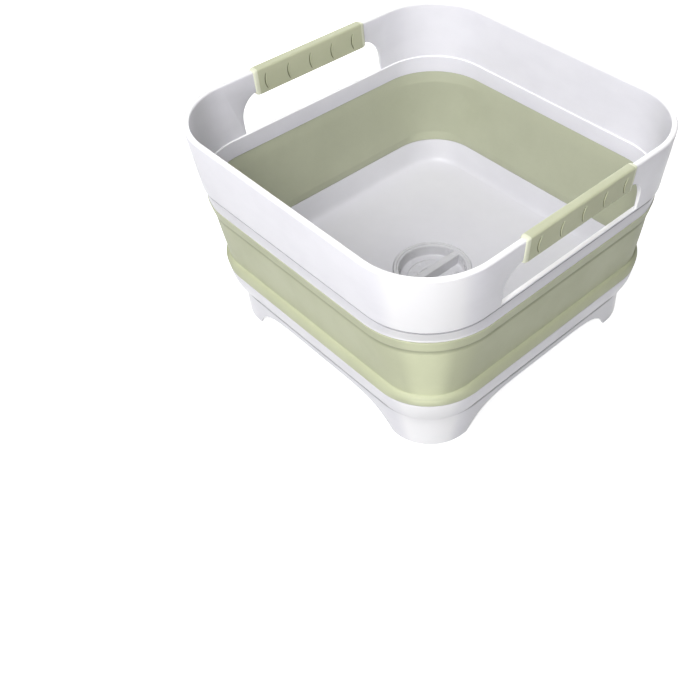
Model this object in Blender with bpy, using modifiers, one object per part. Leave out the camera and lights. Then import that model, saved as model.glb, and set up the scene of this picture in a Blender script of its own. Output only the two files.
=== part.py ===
"""Collapsible square washbasin with a soft folding wall, slotted handles and a drain plug.

Metres, +Z up. The origin is on the ground under the middle of the basin, and the handles are on the two X sides.
"""

import math
from dataclasses import dataclass

import bmesh
import bpy
from mathutils import Matrix, Vector

# Fits that more than one piece shares
JOINT_GAP = 0.0003
CUT_OVERRUN = 0.005
CORNER_STEPS = 10
TURNED_STEPS = 44

# Rim frame: the rim drives every width below it
RIM_HALF = 0.1575
RIM_CORNER = 0.0634
RIM_THICKNESS = 0.0053
RIM_ROUND = 0.0016
WALL_HEIGHT = 0.0529
WALL_DRAFT = 0.0044
WALL_CORNER_DRAFT = 0.0031
WALL_FOOT_HALF = RIM_HALF - WALL_DRAFT
WALL_FOOT_CORNER = RIM_CORNER - WALL_CORNER_DRAFT
WALL_FOOT_THICKNESS = 0.0026
INNER_LEDGE_WIDTH = 0.0010
INNER_LEDGE_RISE = 0.0009
LEDGE_ROUND = 0.0005

# Rim frame: the flange that the soft wall is bonded to
FLANGE_HEIGHT = 0.0126
FLANGE_INSET = 0.0009
FLANGE_FLARE = 0.0002
FLANGE_LIP = 0.0009
FLANGE_WALL = 0.0036
FLANGE_SKIRT = 0.0022
FLANGE_SEAT = 0.0014
FLANGE_CORNER_GAIN = 0.0060
FLANGE_CORNER_EASE = 0.0040
FLANGE_HALF = WALL_FOOT_HALF - FLANGE_INSET
FLANGE_CORNER = WALL_FOOT_CORNER - FLANGE_INSET + FLANGE_CORNER_GAIN
FLANGE_INNER_HALF = FLANGE_HALF + FLANGE_FLARE - FLANGE_WALL
FLANGE_INNER_CORNER = FLANGE_CORNER + FLANGE_FLARE - FLANGE_WALL - FLANGE_CORNER_EASE

# Handle slots and grips
GRIP_LENGTH_SHARE = 0.6536
GRIP_HALF_LENGTH = (RIM_HALF - RIM_CORNER) * GRIP_LENGTH_SHARE
GRIP_SKIN = 0.0011
GRIP_UNDER = 0.0038
GRIP_EDGE = 0.0010
SLOT_SIDE_GAP = 0.0170
SLOT_HALF_LENGTH = GRIP_HALF_LENGTH + SLOT_SIDE_GAP
RAIL_HEIGHT = 0.0175
SLOT_SILL_RISE = 0.0035
SLOT_TOP_RADIUS = 0.0145
SLOT_FOOT_RADIUS = 0.0012
SLOT_ARC_STEPS = 6
RIB_COUNT = 5
RIB_PITCH_SHARE = 0.3935
RIB_PITCH = GRIP_HALF_LENGTH * RIB_PITCH_SHARE
RIB_HEIGHT = 0.0110
RIB_WIDTH = 0.0012
RIB_BEND_RADIUS = 0.0110
RIB_PROUD = 0.0004
RIB_SINK = 0.0003
RIB_STEPS = 5

# Base tray: the ledge fits inside the flange, so that the frame slides down over it
FOLD_ROOM = 0.0038
LEDGE_HALF = FLANGE_INNER_HALF - FOLD_ROOM
LEDGE_CORNER = 0.0533
LEDGE_HEIGHT = 0.0224
LEDGE_EDGE = 0.0008
LEDGE_FLARE = 0.0061
LEDGE_CORNER_FLARE = 0.0068
LEDGE_BULGE = 0.0014
LEDGE_BULGE_SHARES = (0.25, 0.5, 0.75)
LEDGE_BASE_HALF = LEDGE_HALF - LEDGE_FLARE
LEDGE_BASE_CORNER = LEDGE_CORNER - LEDGE_CORNER_FLARE

# Base tray: legs and the arches between them
LEG_HEIGHT = 0.0383
LEG_DRAFT = 0.0050
LEG_CORNER_DRAFT = 0.0052
LEG_WIDTH = 0.0429
FOOT_HALF = LEDGE_BASE_HALF - LEG_DRAFT
FOOT_CORNER = LEDGE_BASE_CORNER - LEG_CORNER_DRAFT
FOOT_EDGE = 0.0008
SKIRT_WALL = 0.0028
SKIRT_INSET = 0.0009
ARCH_HEADROOM = 0.0111
ARCH_HEIGHT = LEG_HEIGHT - ARCH_HEADROOM
ARCH_HALF_SPAN = FOOT_HALF - LEG_WIDTH
ARCH_POWER = 6.0
ARCH_STEPS = 22

# Base tray: lip, wall and floor
LIP_HEIGHT = 0.0026
LIP_SETBACK = 0.0074
LIP_CORNER_SETBACK = 0.0059
LIP_HALF = LEDGE_HALF - LIP_SETBACK
LIP_CORNER = LEDGE_CORNER - LIP_CORNER_SETBACK
LIP_WALL = 0.0018
TRAY_WALL = 0.0026
TRAY_WALL_RUN = 0.0046
TRAY_WALL_CORNER_RUN = 0.0034
TRAY_WALL_FOOT_HALF = LIP_HALF - TRAY_WALL_RUN
TRAY_WALL_FOOT_CORNER = LIP_CORNER - TRAY_WALL_CORNER_RUN
TRAY_WALL_FOOT_RISE = 0.0085
FLOOR_DROP = 0.0187
FLOOR_FALL = 0.0010
FLOOR_ROUND_RUN = 0.0118
FLOOR_ROUND_CORNER_RUN = 0.0090
FLOOR_HALF = TRAY_WALL_FOOT_HALF - FLOOR_ROUND_RUN
FLOOR_CORNER = TRAY_WALL_FOOT_CORNER - FLOOR_ROUND_CORNER_RUN

# Drain plug and gasket
PLUG_WALL_RADIUS = 0.0330
PLUG_WALL = 0.0018
PLUG_CUP_RADIUS = PLUG_WALL_RADIUS - PLUG_WALL
PLUG_CUP_TAPER = 0.0008
PLUG_FLANGE_THICKNESS = 0.0024
PLUG_PROUD = 0.0004
PLUG_SEAT_WIDTH = 0.0009
PLUG_DEPTH = 0.0140
PLUG_FLOOR = 0.0020
PLUG_EDGE = 0.0006
PLUG_BAR_WIDTH = 0.0080
PLUG_BAR_DROP = 0.0004
PLUG_BAR_ANGLE = math.radians(99.0)
GASKET_RADIAL = 0.0014
GASKET_HEIGHT = 0.0036
GASKET_DROP = 0.0034
GASKET_LIP_SHARE = 0.25
GASKET_WAIST_SHARE = 0.33
GROOVE_RIB_RADIAL = 0.0012
GROOVE_RIB_HEIGHT = 0.0012

# Drain well, which fits round the gasket, and its strainer grate
WELL_RADIUS = PLUG_WALL_RADIUS + GASKET_RADIAL + 2 * JOINT_GAP
WELL_WALL = 0.0020
WELL_FOOT_ROOM = 0.0032
WELL_DEPTH = PLUG_DEPTH - PLUG_PROUD + WELL_FOOT_ROOM
PLUG_FLANGE_RADIUS = WELL_RADIUS + PLUG_SEAT_WIDTH
GRATE_THICKNESS = 0.0022
GRATE_HOLE_RADIUS = 0.0024
GRATE_HOLE_SIDES = 8
GRATE_RING_SHARES = (0.27, 0.53, 0.79)
GRATE_RING_COUNTS = (6, 12, 16)

# Soft folding wall
BELLOWS_REACH = 0.0731
BELLOWS_WALL = 0.0028
BAND_EDGE = 0.0008
UPPER_BAND_PROUD = 0.0003
UPPER_BAND_HEIGHT = 0.0103
UPPER_BAND_TAPER = 0.0020
UPPER_BAND_STEP = 0.0010
UPPER_BAND_HALF = FLANGE_HALF + FLANGE_FLARE + UPPER_BAND_PROUD
UPPER_BAND_CORNER = FLANGE_CORNER + FLANGE_FLARE
PANEL_STEP_IN = 0.0012
PANEL_CORNER_STEP_IN = 0.0016
PANEL_TOP_HALF = UPPER_BAND_HALF - UPPER_BAND_TAPER - PANEL_STEP_IN
PANEL_TOP_CORNER = UPPER_BAND_CORNER - UPPER_BAND_TAPER - PANEL_CORNER_STEP_IN
PANEL_FOOT_HALF = LIP_HALF + BELLOWS_WALL
PANEL_CORNER_TIGHTENING = 0.0044
PANEL_FOOT_CORNER = LIP_CORNER - PANEL_CORNER_TIGHTENING
PANEL_BOW = 0.0004
PANEL_STEPS = 6
CREASE_RISE = 0.0077
LOWER_BAND_SHARES = ((0.93, 0.35), (0.80, 0.62), (0.58, 0.85), (0.36, 0.97), (0.16, 1.0))

# Heights that follow from the sizes above
LEDGE_Z = LEG_HEIGHT + LEDGE_HEIGHT
LIP_Z = LEDGE_Z + LIP_HEIGHT
FLOOR_HEIGHT = LEDGE_Z - FLOOR_DROP
BELLOWS_FOOT_Z = LIP_Z + JOINT_GAP
BELLOWS_TOP_Z = BELLOWS_FOOT_Z + BELLOWS_REACH
FLANGE_Z = BELLOWS_TOP_Z + JOINT_GAP
WALL_FOOT_Z = FLANGE_Z + FLANGE_HEIGHT
RIM_Z = WALL_FOOT_Z + WALL_HEIGHT
INNER_LEDGE_Z = WALL_FOOT_Z + INNER_LEDGE_RISE
SEAT_Z = FLOOR_HEIGHT - PLUG_FLANGE_THICKNESS + PLUG_PROUD - JOINT_GAP
PLUG_TOP_Z = FLOOR_HEIGHT + PLUG_PROUD
PLUG_FLANGE_Z = PLUG_TOP_Z - PLUG_FLANGE_THICKNESS
PLUG_FOOT_Z = PLUG_TOP_Z - PLUG_DEPTH
GASKET_TOP_Z = PLUG_FLANGE_Z - GASKET_DROP
GASKET_FOOT_Z = GASKET_TOP_Z - GASKET_HEIGHT
WELL_FLOOR_Z = FLOOR_HEIGHT - WELL_DEPTH
WELL_FOOT_Z = WELL_FLOOR_Z - GRATE_THICKNESS
SLOT_FOOT_Z = INNER_LEDGE_Z + SLOT_SILL_RISE
SLOT_TOP_Z = RIM_Z - RAIL_HEIGHT

WHITE = (0.86, 0.86, 0.88, 1.0)
GREEN = (0.55, 0.58, 0.38, 1.0)
GREY = (0.42, 0.43, 0.42, 1.0)


@dataclass
class Ring:
    """One level outline: a rounded square, or a circle where its half-width is its corner radius."""

    half: float
    corner: float
    z: float

    def inset(self, distance, rise=0.0):
        """The outline moved inwards by a distance, with its corner kept concentric, and raised."""
        return Ring(self.half - distance, self.corner - distance, self.z + rise)

    def towards(self, other, share):
        """The outline a share of the way to another one."""
        return Ring(
            self.half + (other.half - self.half) * share,
            self.corner + (other.corner - self.corner) * share,
            self.z + (other.z - self.z) * share,
        )

    def points(self):
        """Points round the outline, as many on each corner, counter-clockwise from above."""
        if self.corner >= self.half:
            return self.circle_points()
        centre = self.half - self.corner
        found = []
        for quarter in range(4):
            turn = Matrix.Rotation(quarter * math.pi / 2, 3, "Z")
            for step in range(CORNER_STEPS + 1):
                angle = step / CORNER_STEPS * math.pi / 2
                x = centre + self.corner * math.cos(angle)
                y = centre + self.corner * math.sin(angle)
                found.append(turn @ Vector((x, y, self.z)))
        return found

    def circle_points(self):
        """Points evenly round a circle, the middle one of each quarter on the diagonal."""
        count = 4 * (CORNER_STEPS + 1)
        pitch = 2 * math.pi / count
        found = []
        for index in range(count):
            angle = math.pi / 4 + (index - CORNER_STEPS / 2) * pitch
            found.append(Vector((self.half * math.cos(angle), self.half * math.sin(angle), self.z)))
        return found


def circle(radius, z):
    """A ring that is a circle."""
    return Ring(radius, radius, z)


def rounded(first, corner, last, steps=3):
    """Rings along a quarter round from one ring to another, bulging towards the ring at its corner."""
    found = []
    for step in range(steps + 1):
        share = step / steps
        into = first.towards(corner, math.sin(share * math.pi / 2))
        back = last.towards(corner, math.cos(share * math.pi / 2))
        found.append(into.towards(back, share))
    return found


def clear_scene():
    """Removes what the scene holds."""
    for item in list(bpy.data.objects):
        bpy.data.objects.remove(item, do_unlink=True)


def make_collection(name):
    """A collection linked to the scene."""
    collection = bpy.data.collections.new(name)
    bpy.context.scene.collection.children.link(collection)
    return collection


def make_material(name, colour, roughness):
    """A plain plastic or rubber."""
    material = bpy.data.materials.new(name)
    material.use_nodes = True
    shader = material.node_tree.nodes["Principled BSDF"]
    shader.inputs["Base Color"].default_value = colour
    shader.inputs["Roughness"].default_value = roughness
    shader.inputs["Metallic"].default_value = 0.0
    return material


def finish_mesh(name, mesh, collection, material=None):
    """Puts a mesh in the scene, its faces pointing out and its round sides shaded smooth."""
    shape = bmesh.new()
    shape.from_mesh(mesh)
    bmesh.ops.recalc_face_normals(shape, faces=shape.faces)
    shape.to_mesh(mesh)
    shape.free()
    mesh.shade_smooth()
    mesh.set_sharp_from_angle(angle=math.radians(35.0))
    item = bpy.data.objects.new(name, mesh)
    collection.objects.link(item)
    if material:
        mesh.materials.append(material)
    return item


def loft(name, rings, collection, material=None, closed=False):
    """Skins a row of rings. An open row is capped at both ends, a closed one joins its last ring to its first."""
    shape = bmesh.new()
    levels = [[shape.verts.new(point) for point in ring.points()] for ring in rings]
    pairs = list(zip(levels, levels[1:]))
    if closed:
        pairs.append((levels[-1], levels[0]))
    else:
        shape.faces.new(list(reversed(levels[0])))
        shape.faces.new(levels[-1])
    for below, above in pairs:
        count = len(below)
        for index in range(count):
            following = (index + 1) % count
            shape.faces.new((below[index], below[following], above[following], above[index]))
    mesh = bpy.data.meshes.new(name)
    shape.to_mesh(mesh)
    shape.free()
    return finish_mesh(name, mesh, collection, material)


def prism(name, outline, axis, start, end, collection, material=None):
    """A flat outline of (across, up) points drawn out along X or Y."""
    shape = bmesh.new()

    def place(across, up, along):
        return Vector((along, across, up)) if axis == "X" else Vector((across, along, up))

    near = [shape.verts.new(place(across, up, start)) for across, up in outline]
    far = [shape.verts.new(place(across, up, end)) for across, up in outline]
    shape.faces.new(near)
    shape.faces.new(list(reversed(far)))
    count = len(near)
    for index in range(count):
        following = (index + 1) % count
        shape.faces.new((near[index], near[following], far[following], far[index]))
    mesh = bpy.data.meshes.new(name)
    shape.to_mesh(mesh)
    shape.free()
    return finish_mesh(name, mesh, collection, material)


def turned(name, profile, collection, material):
    """A profile of (radius, height) points turned round Z: +X outer side first, from top to bottom."""
    mesh = bpy.data.meshes.new(name)
    points = [(radius, 0.0, z) for radius, z in profile]
    on_axis = profile[0][0] == 0.0
    edges = [(index, index + 1) for index in range(len(points) - 1)]
    if not on_axis:
        edges.append((len(points) - 1, 0))
    mesh.from_pydata(points, edges, [])
    item = bpy.data.objects.new(name, mesh)
    collection.objects.link(item)
    mesh.materials.append(material)
    screw = item.modifiers.new("Turn", "SCREW")
    screw.axis = "Z"
    screw.angle = 2 * math.pi
    screw.steps = TURNED_STEPS
    screw.render_steps = TURNED_STEPS
    screw.use_merge_vertices = True
    screw.merge_threshold = 0.00001
    screw.use_smooth_shade = True
    return item


def as_plain_mesh(item):
    """Turns an object with modifiers into a plain mesh with closed, outward faces."""
    evaluated = item.evaluated_get(bpy.context.evaluated_depsgraph_get())
    mesh = bpy.data.meshes.new_from_object(evaluated)
    name = item.name
    matrix = item.matrix_world.copy()
    collection = item.users_collection[0]
    bpy.data.objects.remove(item, do_unlink=True)
    made = finish_mesh(name, mesh, collection)
    made.matrix_world = matrix
    return made


def hide_cutter(cutter):
    """Marks a shape that only cuts others."""
    cutter.hide_render = True
    cutter.display_type = "WIRE"


def combine(target, other, operation):
    """Adds an exact Boolean to a piece."""
    modifier = target.modifiers.new(operation.title() + " " + other.name, "BOOLEAN")
    modifier.operation = operation
    modifier.solver = "EXACT"
    modifier.object = other
    hide_cutter(other)


def wall_outer(z):
    """Half-width of the frame wall's outer face at a height."""
    share = (z - WALL_FOOT_Z) / (RIM_Z - WALL_FOOT_Z)
    return WALL_FOOT_HALF + (RIM_HALF - WALL_FOOT_HALF) * share


def wall_inner(z):
    """Half-width of the frame wall's inner face at a height."""
    share = (z - WALL_FOOT_Z) / (RIM_Z - WALL_FOOT_Z)
    thickness = WALL_FOOT_THICKNESS + (RIM_THICKNESS - WALL_FOOT_THICKNESS) * share
    return wall_outer(z) - thickness


def frame_rings():
    """The frame's closed section, from the rim down the outside and up the inside."""
    rim = Ring(RIM_HALF, RIM_CORNER, RIM_Z)
    foot = Ring(WALL_FOOT_HALF, WALL_FOOT_CORNER, WALL_FOOT_Z)
    round_share = RIM_ROUND / WALL_HEIGHT
    flange = foot.inset(FLANGE_INSET)
    flange_foot = Ring(FLANGE_HALF, FLANGE_CORNER, FLANGE_Z)
    lip = flange_foot.inset(-FLANGE_FLARE)
    flange_inner = Ring(FLANGE_INNER_HALF, FLANGE_INNER_CORNER, FLANGE_Z - FLANGE_SKIRT)

    ledge_wall = wall_outer(INNER_LEDGE_Z) - wall_inner(INNER_LEDGE_Z)
    above_ledge = rim.towards(foot, 1 - INNER_LEDGE_RISE / WALL_HEIGHT).inset(ledge_wall)
    ledge = above_ledge.inset(INNER_LEDGE_WIDTH)
    rim_inner = rim.inset(RIM_THICKNESS)

    rings = rounded(rim.inset(RIM_ROUND), rim, rim.towards(foot, round_share))
    rings += [foot.inset(0.0, LEDGE_ROUND), foot.inset(LEDGE_ROUND), flange]
    rings += [flange_foot.inset(0.0, FLANGE_LIP + FLANGE_FLARE), lip.inset(0.0, FLANGE_LIP), lip]
    rings += [lip.inset(FLANGE_SEAT), flange_inner]
    rings += rounded(ledge.inset(0.0, -LEDGE_ROUND), ledge, ledge.inset(-LEDGE_ROUND), 2)
    rings += [above_ledge]
    rings += rounded(rim_inner.towards(above_ledge, round_share), rim_inner, rim_inner.inset(-RIM_ROUND))
    return rings


def slot_outline():
    """The handle slot: square at the sill, widely rounded at the top, as (across, up) points."""
    corners = (
        (SLOT_HALF_LENGTH, SLOT_FOOT_Z, SLOT_FOOT_RADIUS, -0.5),
        (SLOT_HALF_LENGTH, SLOT_TOP_Z, SLOT_TOP_RADIUS, 0.0),
        (-SLOT_HALF_LENGTH, SLOT_TOP_Z, SLOT_TOP_RADIUS, 0.5),
        (-SLOT_HALF_LENGTH, SLOT_FOOT_Z, SLOT_FOOT_RADIUS, 1.0),
    )
    outline = []
    for across, up, radius, start in corners:
        centre_across = across - math.copysign(radius, across)
        centre_up = up + radius if up == SLOT_FOOT_Z else up - radius
        for step in range(SLOT_ARC_STEPS + 1):
            angle = (start + step / SLOT_ARC_STEPS / 2) * math.pi
            outline.append((centre_across + radius * math.cos(angle), centre_up + radius * math.sin(angle)))
    return outline


def make_rim_frame(parts, cutters, material):
    """The upper frame with a handle slot through each X wall."""
    frame = loft("rim_frame", frame_rings(), parts, material, closed=True)
    reach = RIM_HALF + CUT_OVERRUN
    slots = prism("handle_slot_cutter", slot_outline(), "X", -reach, reach, cutters)
    combine(frame, slots, "DIFFERENCE")
    return frame


def grip_section():
    """The sleeve's outer and inner outlines as (x, z) points, offset from the rim section that they hug."""
    top = RIM_Z + JOINT_GAP + GRIP_SKIN
    foot = SLOT_TOP_Z - GRIP_UNDER
    cover = JOINT_GAP + GRIP_SKIN
    outer = [
        (wall_outer(foot) + cover, foot),
        (wall_outer(RIM_Z) + cover, top),
        (wall_inner(RIM_Z) - cover, top),
        (wall_inner(foot) - cover, foot),
    ]
    inner_top = RIM_Z + JOINT_GAP
    inner_foot = SLOT_TOP_Z - JOINT_GAP
    inner = [
        (wall_outer(inner_foot) + JOINT_GAP, inner_foot),
        (wall_outer(RIM_Z) + JOINT_GAP, inner_top),
        (wall_inner(RIM_Z) - JOINT_GAP, inner_top),
        (wall_inner(inner_foot) - JOINT_GAP, inner_foot),
    ]
    return outer, inner


def rib_outline(centre_across, centre_up):
    """One crescent rib: two arcs that meet in points, as (across, up) points."""
    half_height = RIB_HEIGHT / 2
    spread = math.asin(half_height / RIB_BEND_RADIUS)
    outline = []
    for step in range(RIB_STEPS + 1):
        angle = spread * (2 * step / RIB_STEPS - 1)
        across = RIB_BEND_RADIUS * (1 - math.cos(angle))
        outline.append((centre_across + across, centre_up + RIB_BEND_RADIUS * math.sin(angle)))
    for step in range(RIB_STEPS - 1, 0, -1):
        angle = spread * (2 * step / RIB_STEPS - 1)
        across = RIB_BEND_RADIUS * (1 - math.cos(angle))
        width = RIB_WIDTH * math.cos(angle / spread * math.pi / 2)
        outline.append((centre_across + across + width, centre_up + RIB_BEND_RADIUS * math.sin(angle)))
    return outline


def make_ribs(side, outer, cutters):
    """The crescent ribs of both faces of one grip, as two shapes that lean with the faces."""
    foot_outer, top_outer, top_inner, foot_inner = outer
    middle_up = (foot_outer[1] + top_outer[1]) / 2
    shapes = []
    for face, foot, top, outward in (("outer", foot_outer, top_outer, 1), ("inner", foot_inner, top_inner, -1)):
        shape = bmesh.new()
        lean = (top[0] - foot[0]) / (top[1] - foot[1])
        for index in range(RIB_COUNT):
            across = (index - (RIB_COUNT - 1) / 2) * RIB_PITCH
            levels = []
            for distance in (-RIB_SINK, RIB_PROUD):
                level = []
                for along, up in rib_outline(across, middle_up):
                    x = foot[0] + lean * (up - foot[1]) + outward * distance
                    level.append(shape.verts.new(Vector((side * x, along, up))))
                levels.append(level)
            shape.faces.new(list(reversed(levels[0])))
            shape.faces.new(levels[1])
            count = len(levels[0])
            for start in range(count):
                following = (start + 1) % count
                shape.faces.new((levels[0][start], levels[0][following], levels[1][following], levels[1][start]))
        mesh = bpy.data.meshes.new("ribs_" + face)
        shape.to_mesh(mesh)
        shape.free()
        shapes.append(finish_mesh("ribs_" + face, mesh, cutters))
    return shapes


def make_grip(name, side, parts, cutters, material):
    """A soft sleeve round the rim above one slot, its edges rounded and its faces ribbed."""
    outer, inner = grip_section()
    sleeve_outline = [(side * x, z) for x, z in outer]
    bore_outline = [(side * x, z) for x, z in inner]
    grip = prism(name, sleeve_outline, "Y", -GRIP_HALF_LENGTH, GRIP_HALF_LENGTH, parts, material)
    bevel = grip.modifiers.new("Round edges", "BEVEL")
    bevel.width = min(GRIP_EDGE, GRIP_SKIN)
    bevel.segments = 2
    bevel.limit_method = "ANGLE"
    for ribs in make_ribs(side, outer, cutters):
        combine(grip, ribs, "UNION")
    reach = GRIP_HALF_LENGTH + CUT_OVERRUN
    bore = prism(name + "_bore_cutter", bore_outline, "Y", -reach, reach, cutters)
    combine(grip, bore, "DIFFERENCE")
    return grip


def lip_outer_rings():
    """The outer face of the tray's lip, at its foot on the ledge and at its top."""
    foot = Ring(LIP_HALF + LIP_WALL, LEDGE_CORNER - (LEDGE_HALF - LIP_HALF - LIP_WALL), LEDGE_Z)
    top = Ring(LIP_HALF + LIP_WALL, LIP_CORNER + LIP_WALL, LIP_Z)
    return foot, top


def panel_ring(share, inward=0.0):
    """The panel's outline a share of the way from its foot to its top, bowed a little, moved inwards."""
    foot = Ring(PANEL_FOOT_HALF, PANEL_FOOT_CORNER, BELLOWS_FOOT_Z + CREASE_RISE)
    top = Ring(PANEL_TOP_HALF, PANEL_TOP_CORNER, BELLOWS_TOP_Z - UPPER_BAND_HEIGHT - UPPER_BAND_STEP)
    bow = PANEL_BOW * math.sin(share * math.pi)
    return foot.towards(top, share).inset(inward - bow)


def bellows_rings():
    """The soft wall's closed section, from its top down the outside and up the inside."""
    band = Ring(UPPER_BAND_HALF, UPPER_BAND_CORNER, BELLOWS_TOP_Z)
    band_foot = band.inset(UPPER_BAND_TAPER, -UPPER_BAND_HEIGHT)
    panel = [panel_ring(1 - step / PANEL_STEPS) for step in range(PANEL_STEPS + 1)]
    rings = rounded(band.inset(BAND_EDGE), band, band.inset(0.0, -BAND_EDGE), 2)
    rings += rounded(band_foot.inset(0.0, BAND_EDGE), band_foot, band_foot.inset(BAND_EDGE), 2)
    rings += panel

    crease = panel[-1]
    lip_foot, lip_top = lip_outer_rings()
    lower = Ring(LEDGE_HALF, LEDGE_CORNER, LEDGE_Z + JOINT_GAP)
    for up_share, flare_share in LOWER_BAND_SHARES:
        level = lower.towards(crease, up_share)
        flare = crease.towards(lower, flare_share)
        rings.append(Ring(flare.half, level.corner, level.z))
    rings += [lower.inset(0.0, BAND_EDGE), lower.inset(BAND_EDGE)]

    rings += [lip_foot.inset(-JOINT_GAP, JOINT_GAP), lip_top.inset(-JOINT_GAP, JOINT_GAP)]
    rings += [Ring(LIP_HALF, LIP_CORNER, BELLOWS_FOOT_Z)]
    rings += [panel_ring(step / PANEL_STEPS, BELLOWS_WALL) for step in range(PANEL_STEPS + 1)]
    rings += [Ring(FLANGE_INNER_HALF, FLANGE_INNER_CORNER, BELLOWS_TOP_Z - FLANGE_SKIRT)]
    rings += [band.inset(UPPER_BAND_PROUD + FLANGE_SEAT - JOINT_GAP)]
    return rings


def make_bellows(parts, material):
    """The green folding wall, one moulding from the tray's lip to the frame's flange."""
    return loft("bellows", bellows_rings(), parts, material, closed=True)


def tray_rings():
    """The tray's section from the well's underside outwards, up the outside, down the inside and into the well."""
    recess_radius = PLUG_FLANGE_RADIUS + JOINT_GAP
    well_outer = recess_radius + WELL_WALL
    floor = Ring(FLOOR_HALF, FLOOR_CORNER, FLOOR_HEIGHT + FLOOR_FALL)
    wall_foot = Ring(TRAY_WALL_FOOT_HALF, TRAY_WALL_FOOT_CORNER, floor.z + TRAY_WALL_FOOT_RISE)
    turn = Ring(wall_foot.half - TRAY_WALL_FOOT_RISE / 2, wall_foot.corner - TRAY_WALL_FOOT_RISE / 2, floor.z)
    lip = Ring(LIP_HALF, LIP_CORNER, LIP_Z)
    lip_foot, lip_top = lip_outer_rings()
    foot = Ring(FOOT_HALF, FOOT_CORNER, 0.0)
    ledge_base = Ring(LEDGE_BASE_HALF, LEDGE_BASE_CORNER, LEG_HEIGHT)
    skirt_top = ledge_base.inset(SKIRT_INSET)
    ledge = Ring(LEDGE_HALF, LEDGE_CORNER, LEDGE_Z)
    drop = -TRAY_WALL

    rings = [circle(well_outer - WELL_WALL, WELL_FOOT_Z), circle(well_outer, WELL_FOOT_Z + WELL_WALL)]
    rings += [circle(well_outer, FLOOR_HEIGHT - TRAY_WALL), floor.inset(0.0, drop)]
    rings += rounded(floor.inset(0.0, drop), turn.inset(drop, drop), wall_foot.inset(drop), 3)[1:]
    under_ledge = ledge_base.towards(ledge, 1 - TRAY_WALL / LEDGE_HEIGHT).inset(TRAY_WALL)
    wall_share = (under_ledge.z - wall_foot.z) / (LIP_Z - wall_foot.z)
    rings += [wall_foot.towards(lip, wall_share).inset(drop), under_ledge]
    rings += [ledge_base.inset(TRAY_WALL), foot.inset(SKIRT_WALL)]
    rings += [foot.inset(FOOT_EDGE), foot.inset(0.0, FOOT_EDGE), skirt_top, ledge_base]
    for share in LEDGE_BULGE_SHARES:
        rings.append(ledge_base.towards(ledge, share).inset(-LEDGE_BULGE * math.sin(share * math.pi)))
    rings += rounded(ledge.inset(0.0, -LEDGE_EDGE), ledge, ledge.inset(LEDGE_EDGE), 2)
    rings += [lip_foot, lip_top, lip]
    rings += rounded(wall_foot, turn, floor, 5)
    rings += [circle(recess_radius + PLUG_EDGE, FLOOR_HEIGHT), circle(recess_radius, FLOOR_HEIGHT - PLUG_EDGE)]
    rings += [circle(recess_radius, SEAT_Z), circle(WELL_RADIUS, SEAT_Z), circle(WELL_RADIUS, WELL_FLOOR_Z)]
    return rings


def arch_outline():
    """The gap under a skirt between two legs, as (across, up) points."""
    outline = [(-ARCH_HALF_SPAN, -CUT_OVERRUN)]
    for step in range(ARCH_STEPS + 1):
        across_share = -math.cos(step / ARCH_STEPS * math.pi)
        up = ARCH_HEIGHT * (1 - abs(across_share) ** ARCH_POWER)
        outline.append((ARCH_HALF_SPAN * across_share, up))
    outline.append((ARCH_HALF_SPAN, -CUT_OVERRUN))
    return outline


def make_grate_cutter(cutters):
    """Round pegs that pierce the well's floor in three rings."""
    shape = bmesh.new()
    length = GRATE_THICKNESS + CUT_OVERRUN
    middle = WELL_FOOT_Z + GRATE_THICKNESS / 2
    places = [Vector((0.0, 0.0, middle))]
    for share, count in zip(GRATE_RING_SHARES, GRATE_RING_COUNTS):
        radius = WELL_RADIUS * share
        for index in range(count):
            angle = index / count * 2 * math.pi
            places.append(Vector((radius * math.cos(angle), radius * math.sin(angle), middle)))
    for place in places:
        bmesh.ops.create_cone(
            shape, cap_ends=True, segments=GRATE_HOLE_SIDES, radius1=GRATE_HOLE_RADIUS,
            radius2=GRATE_HOLE_RADIUS, depth=length, matrix=Matrix.Translation(place),
        )
    mesh = bpy.data.meshes.new("grate_cutter")
    shape.to_mesh(mesh)
    shape.free()
    return finish_mesh("grate_cutter", mesh, cutters)


def make_base_tray(parts, cutters, material):
    """The base with its arched legs, floor, lip and drain well."""
    tray = loft("base_tray", tray_rings(), parts, material)
    reach = LEDGE_HALF + CUT_OVERRUN
    for axis in ("X", "Y"):
        # Each cut starts between the legs, so the drain well in the middle keeps its foot.
        for side, start, end in (("low", -reach, -ARCH_HALF_SPAN), ("high", ARCH_HALF_SPAN, reach)):
            name = "leg_arch_cutter_" + axis.lower() + "_" + side
            combine(tray, prism(name, arch_outline(), axis, start, end, cutters), "DIFFERENCE")
    combine(tray, make_grate_cutter(cutters), "DIFFERENCE")
    return tray


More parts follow.
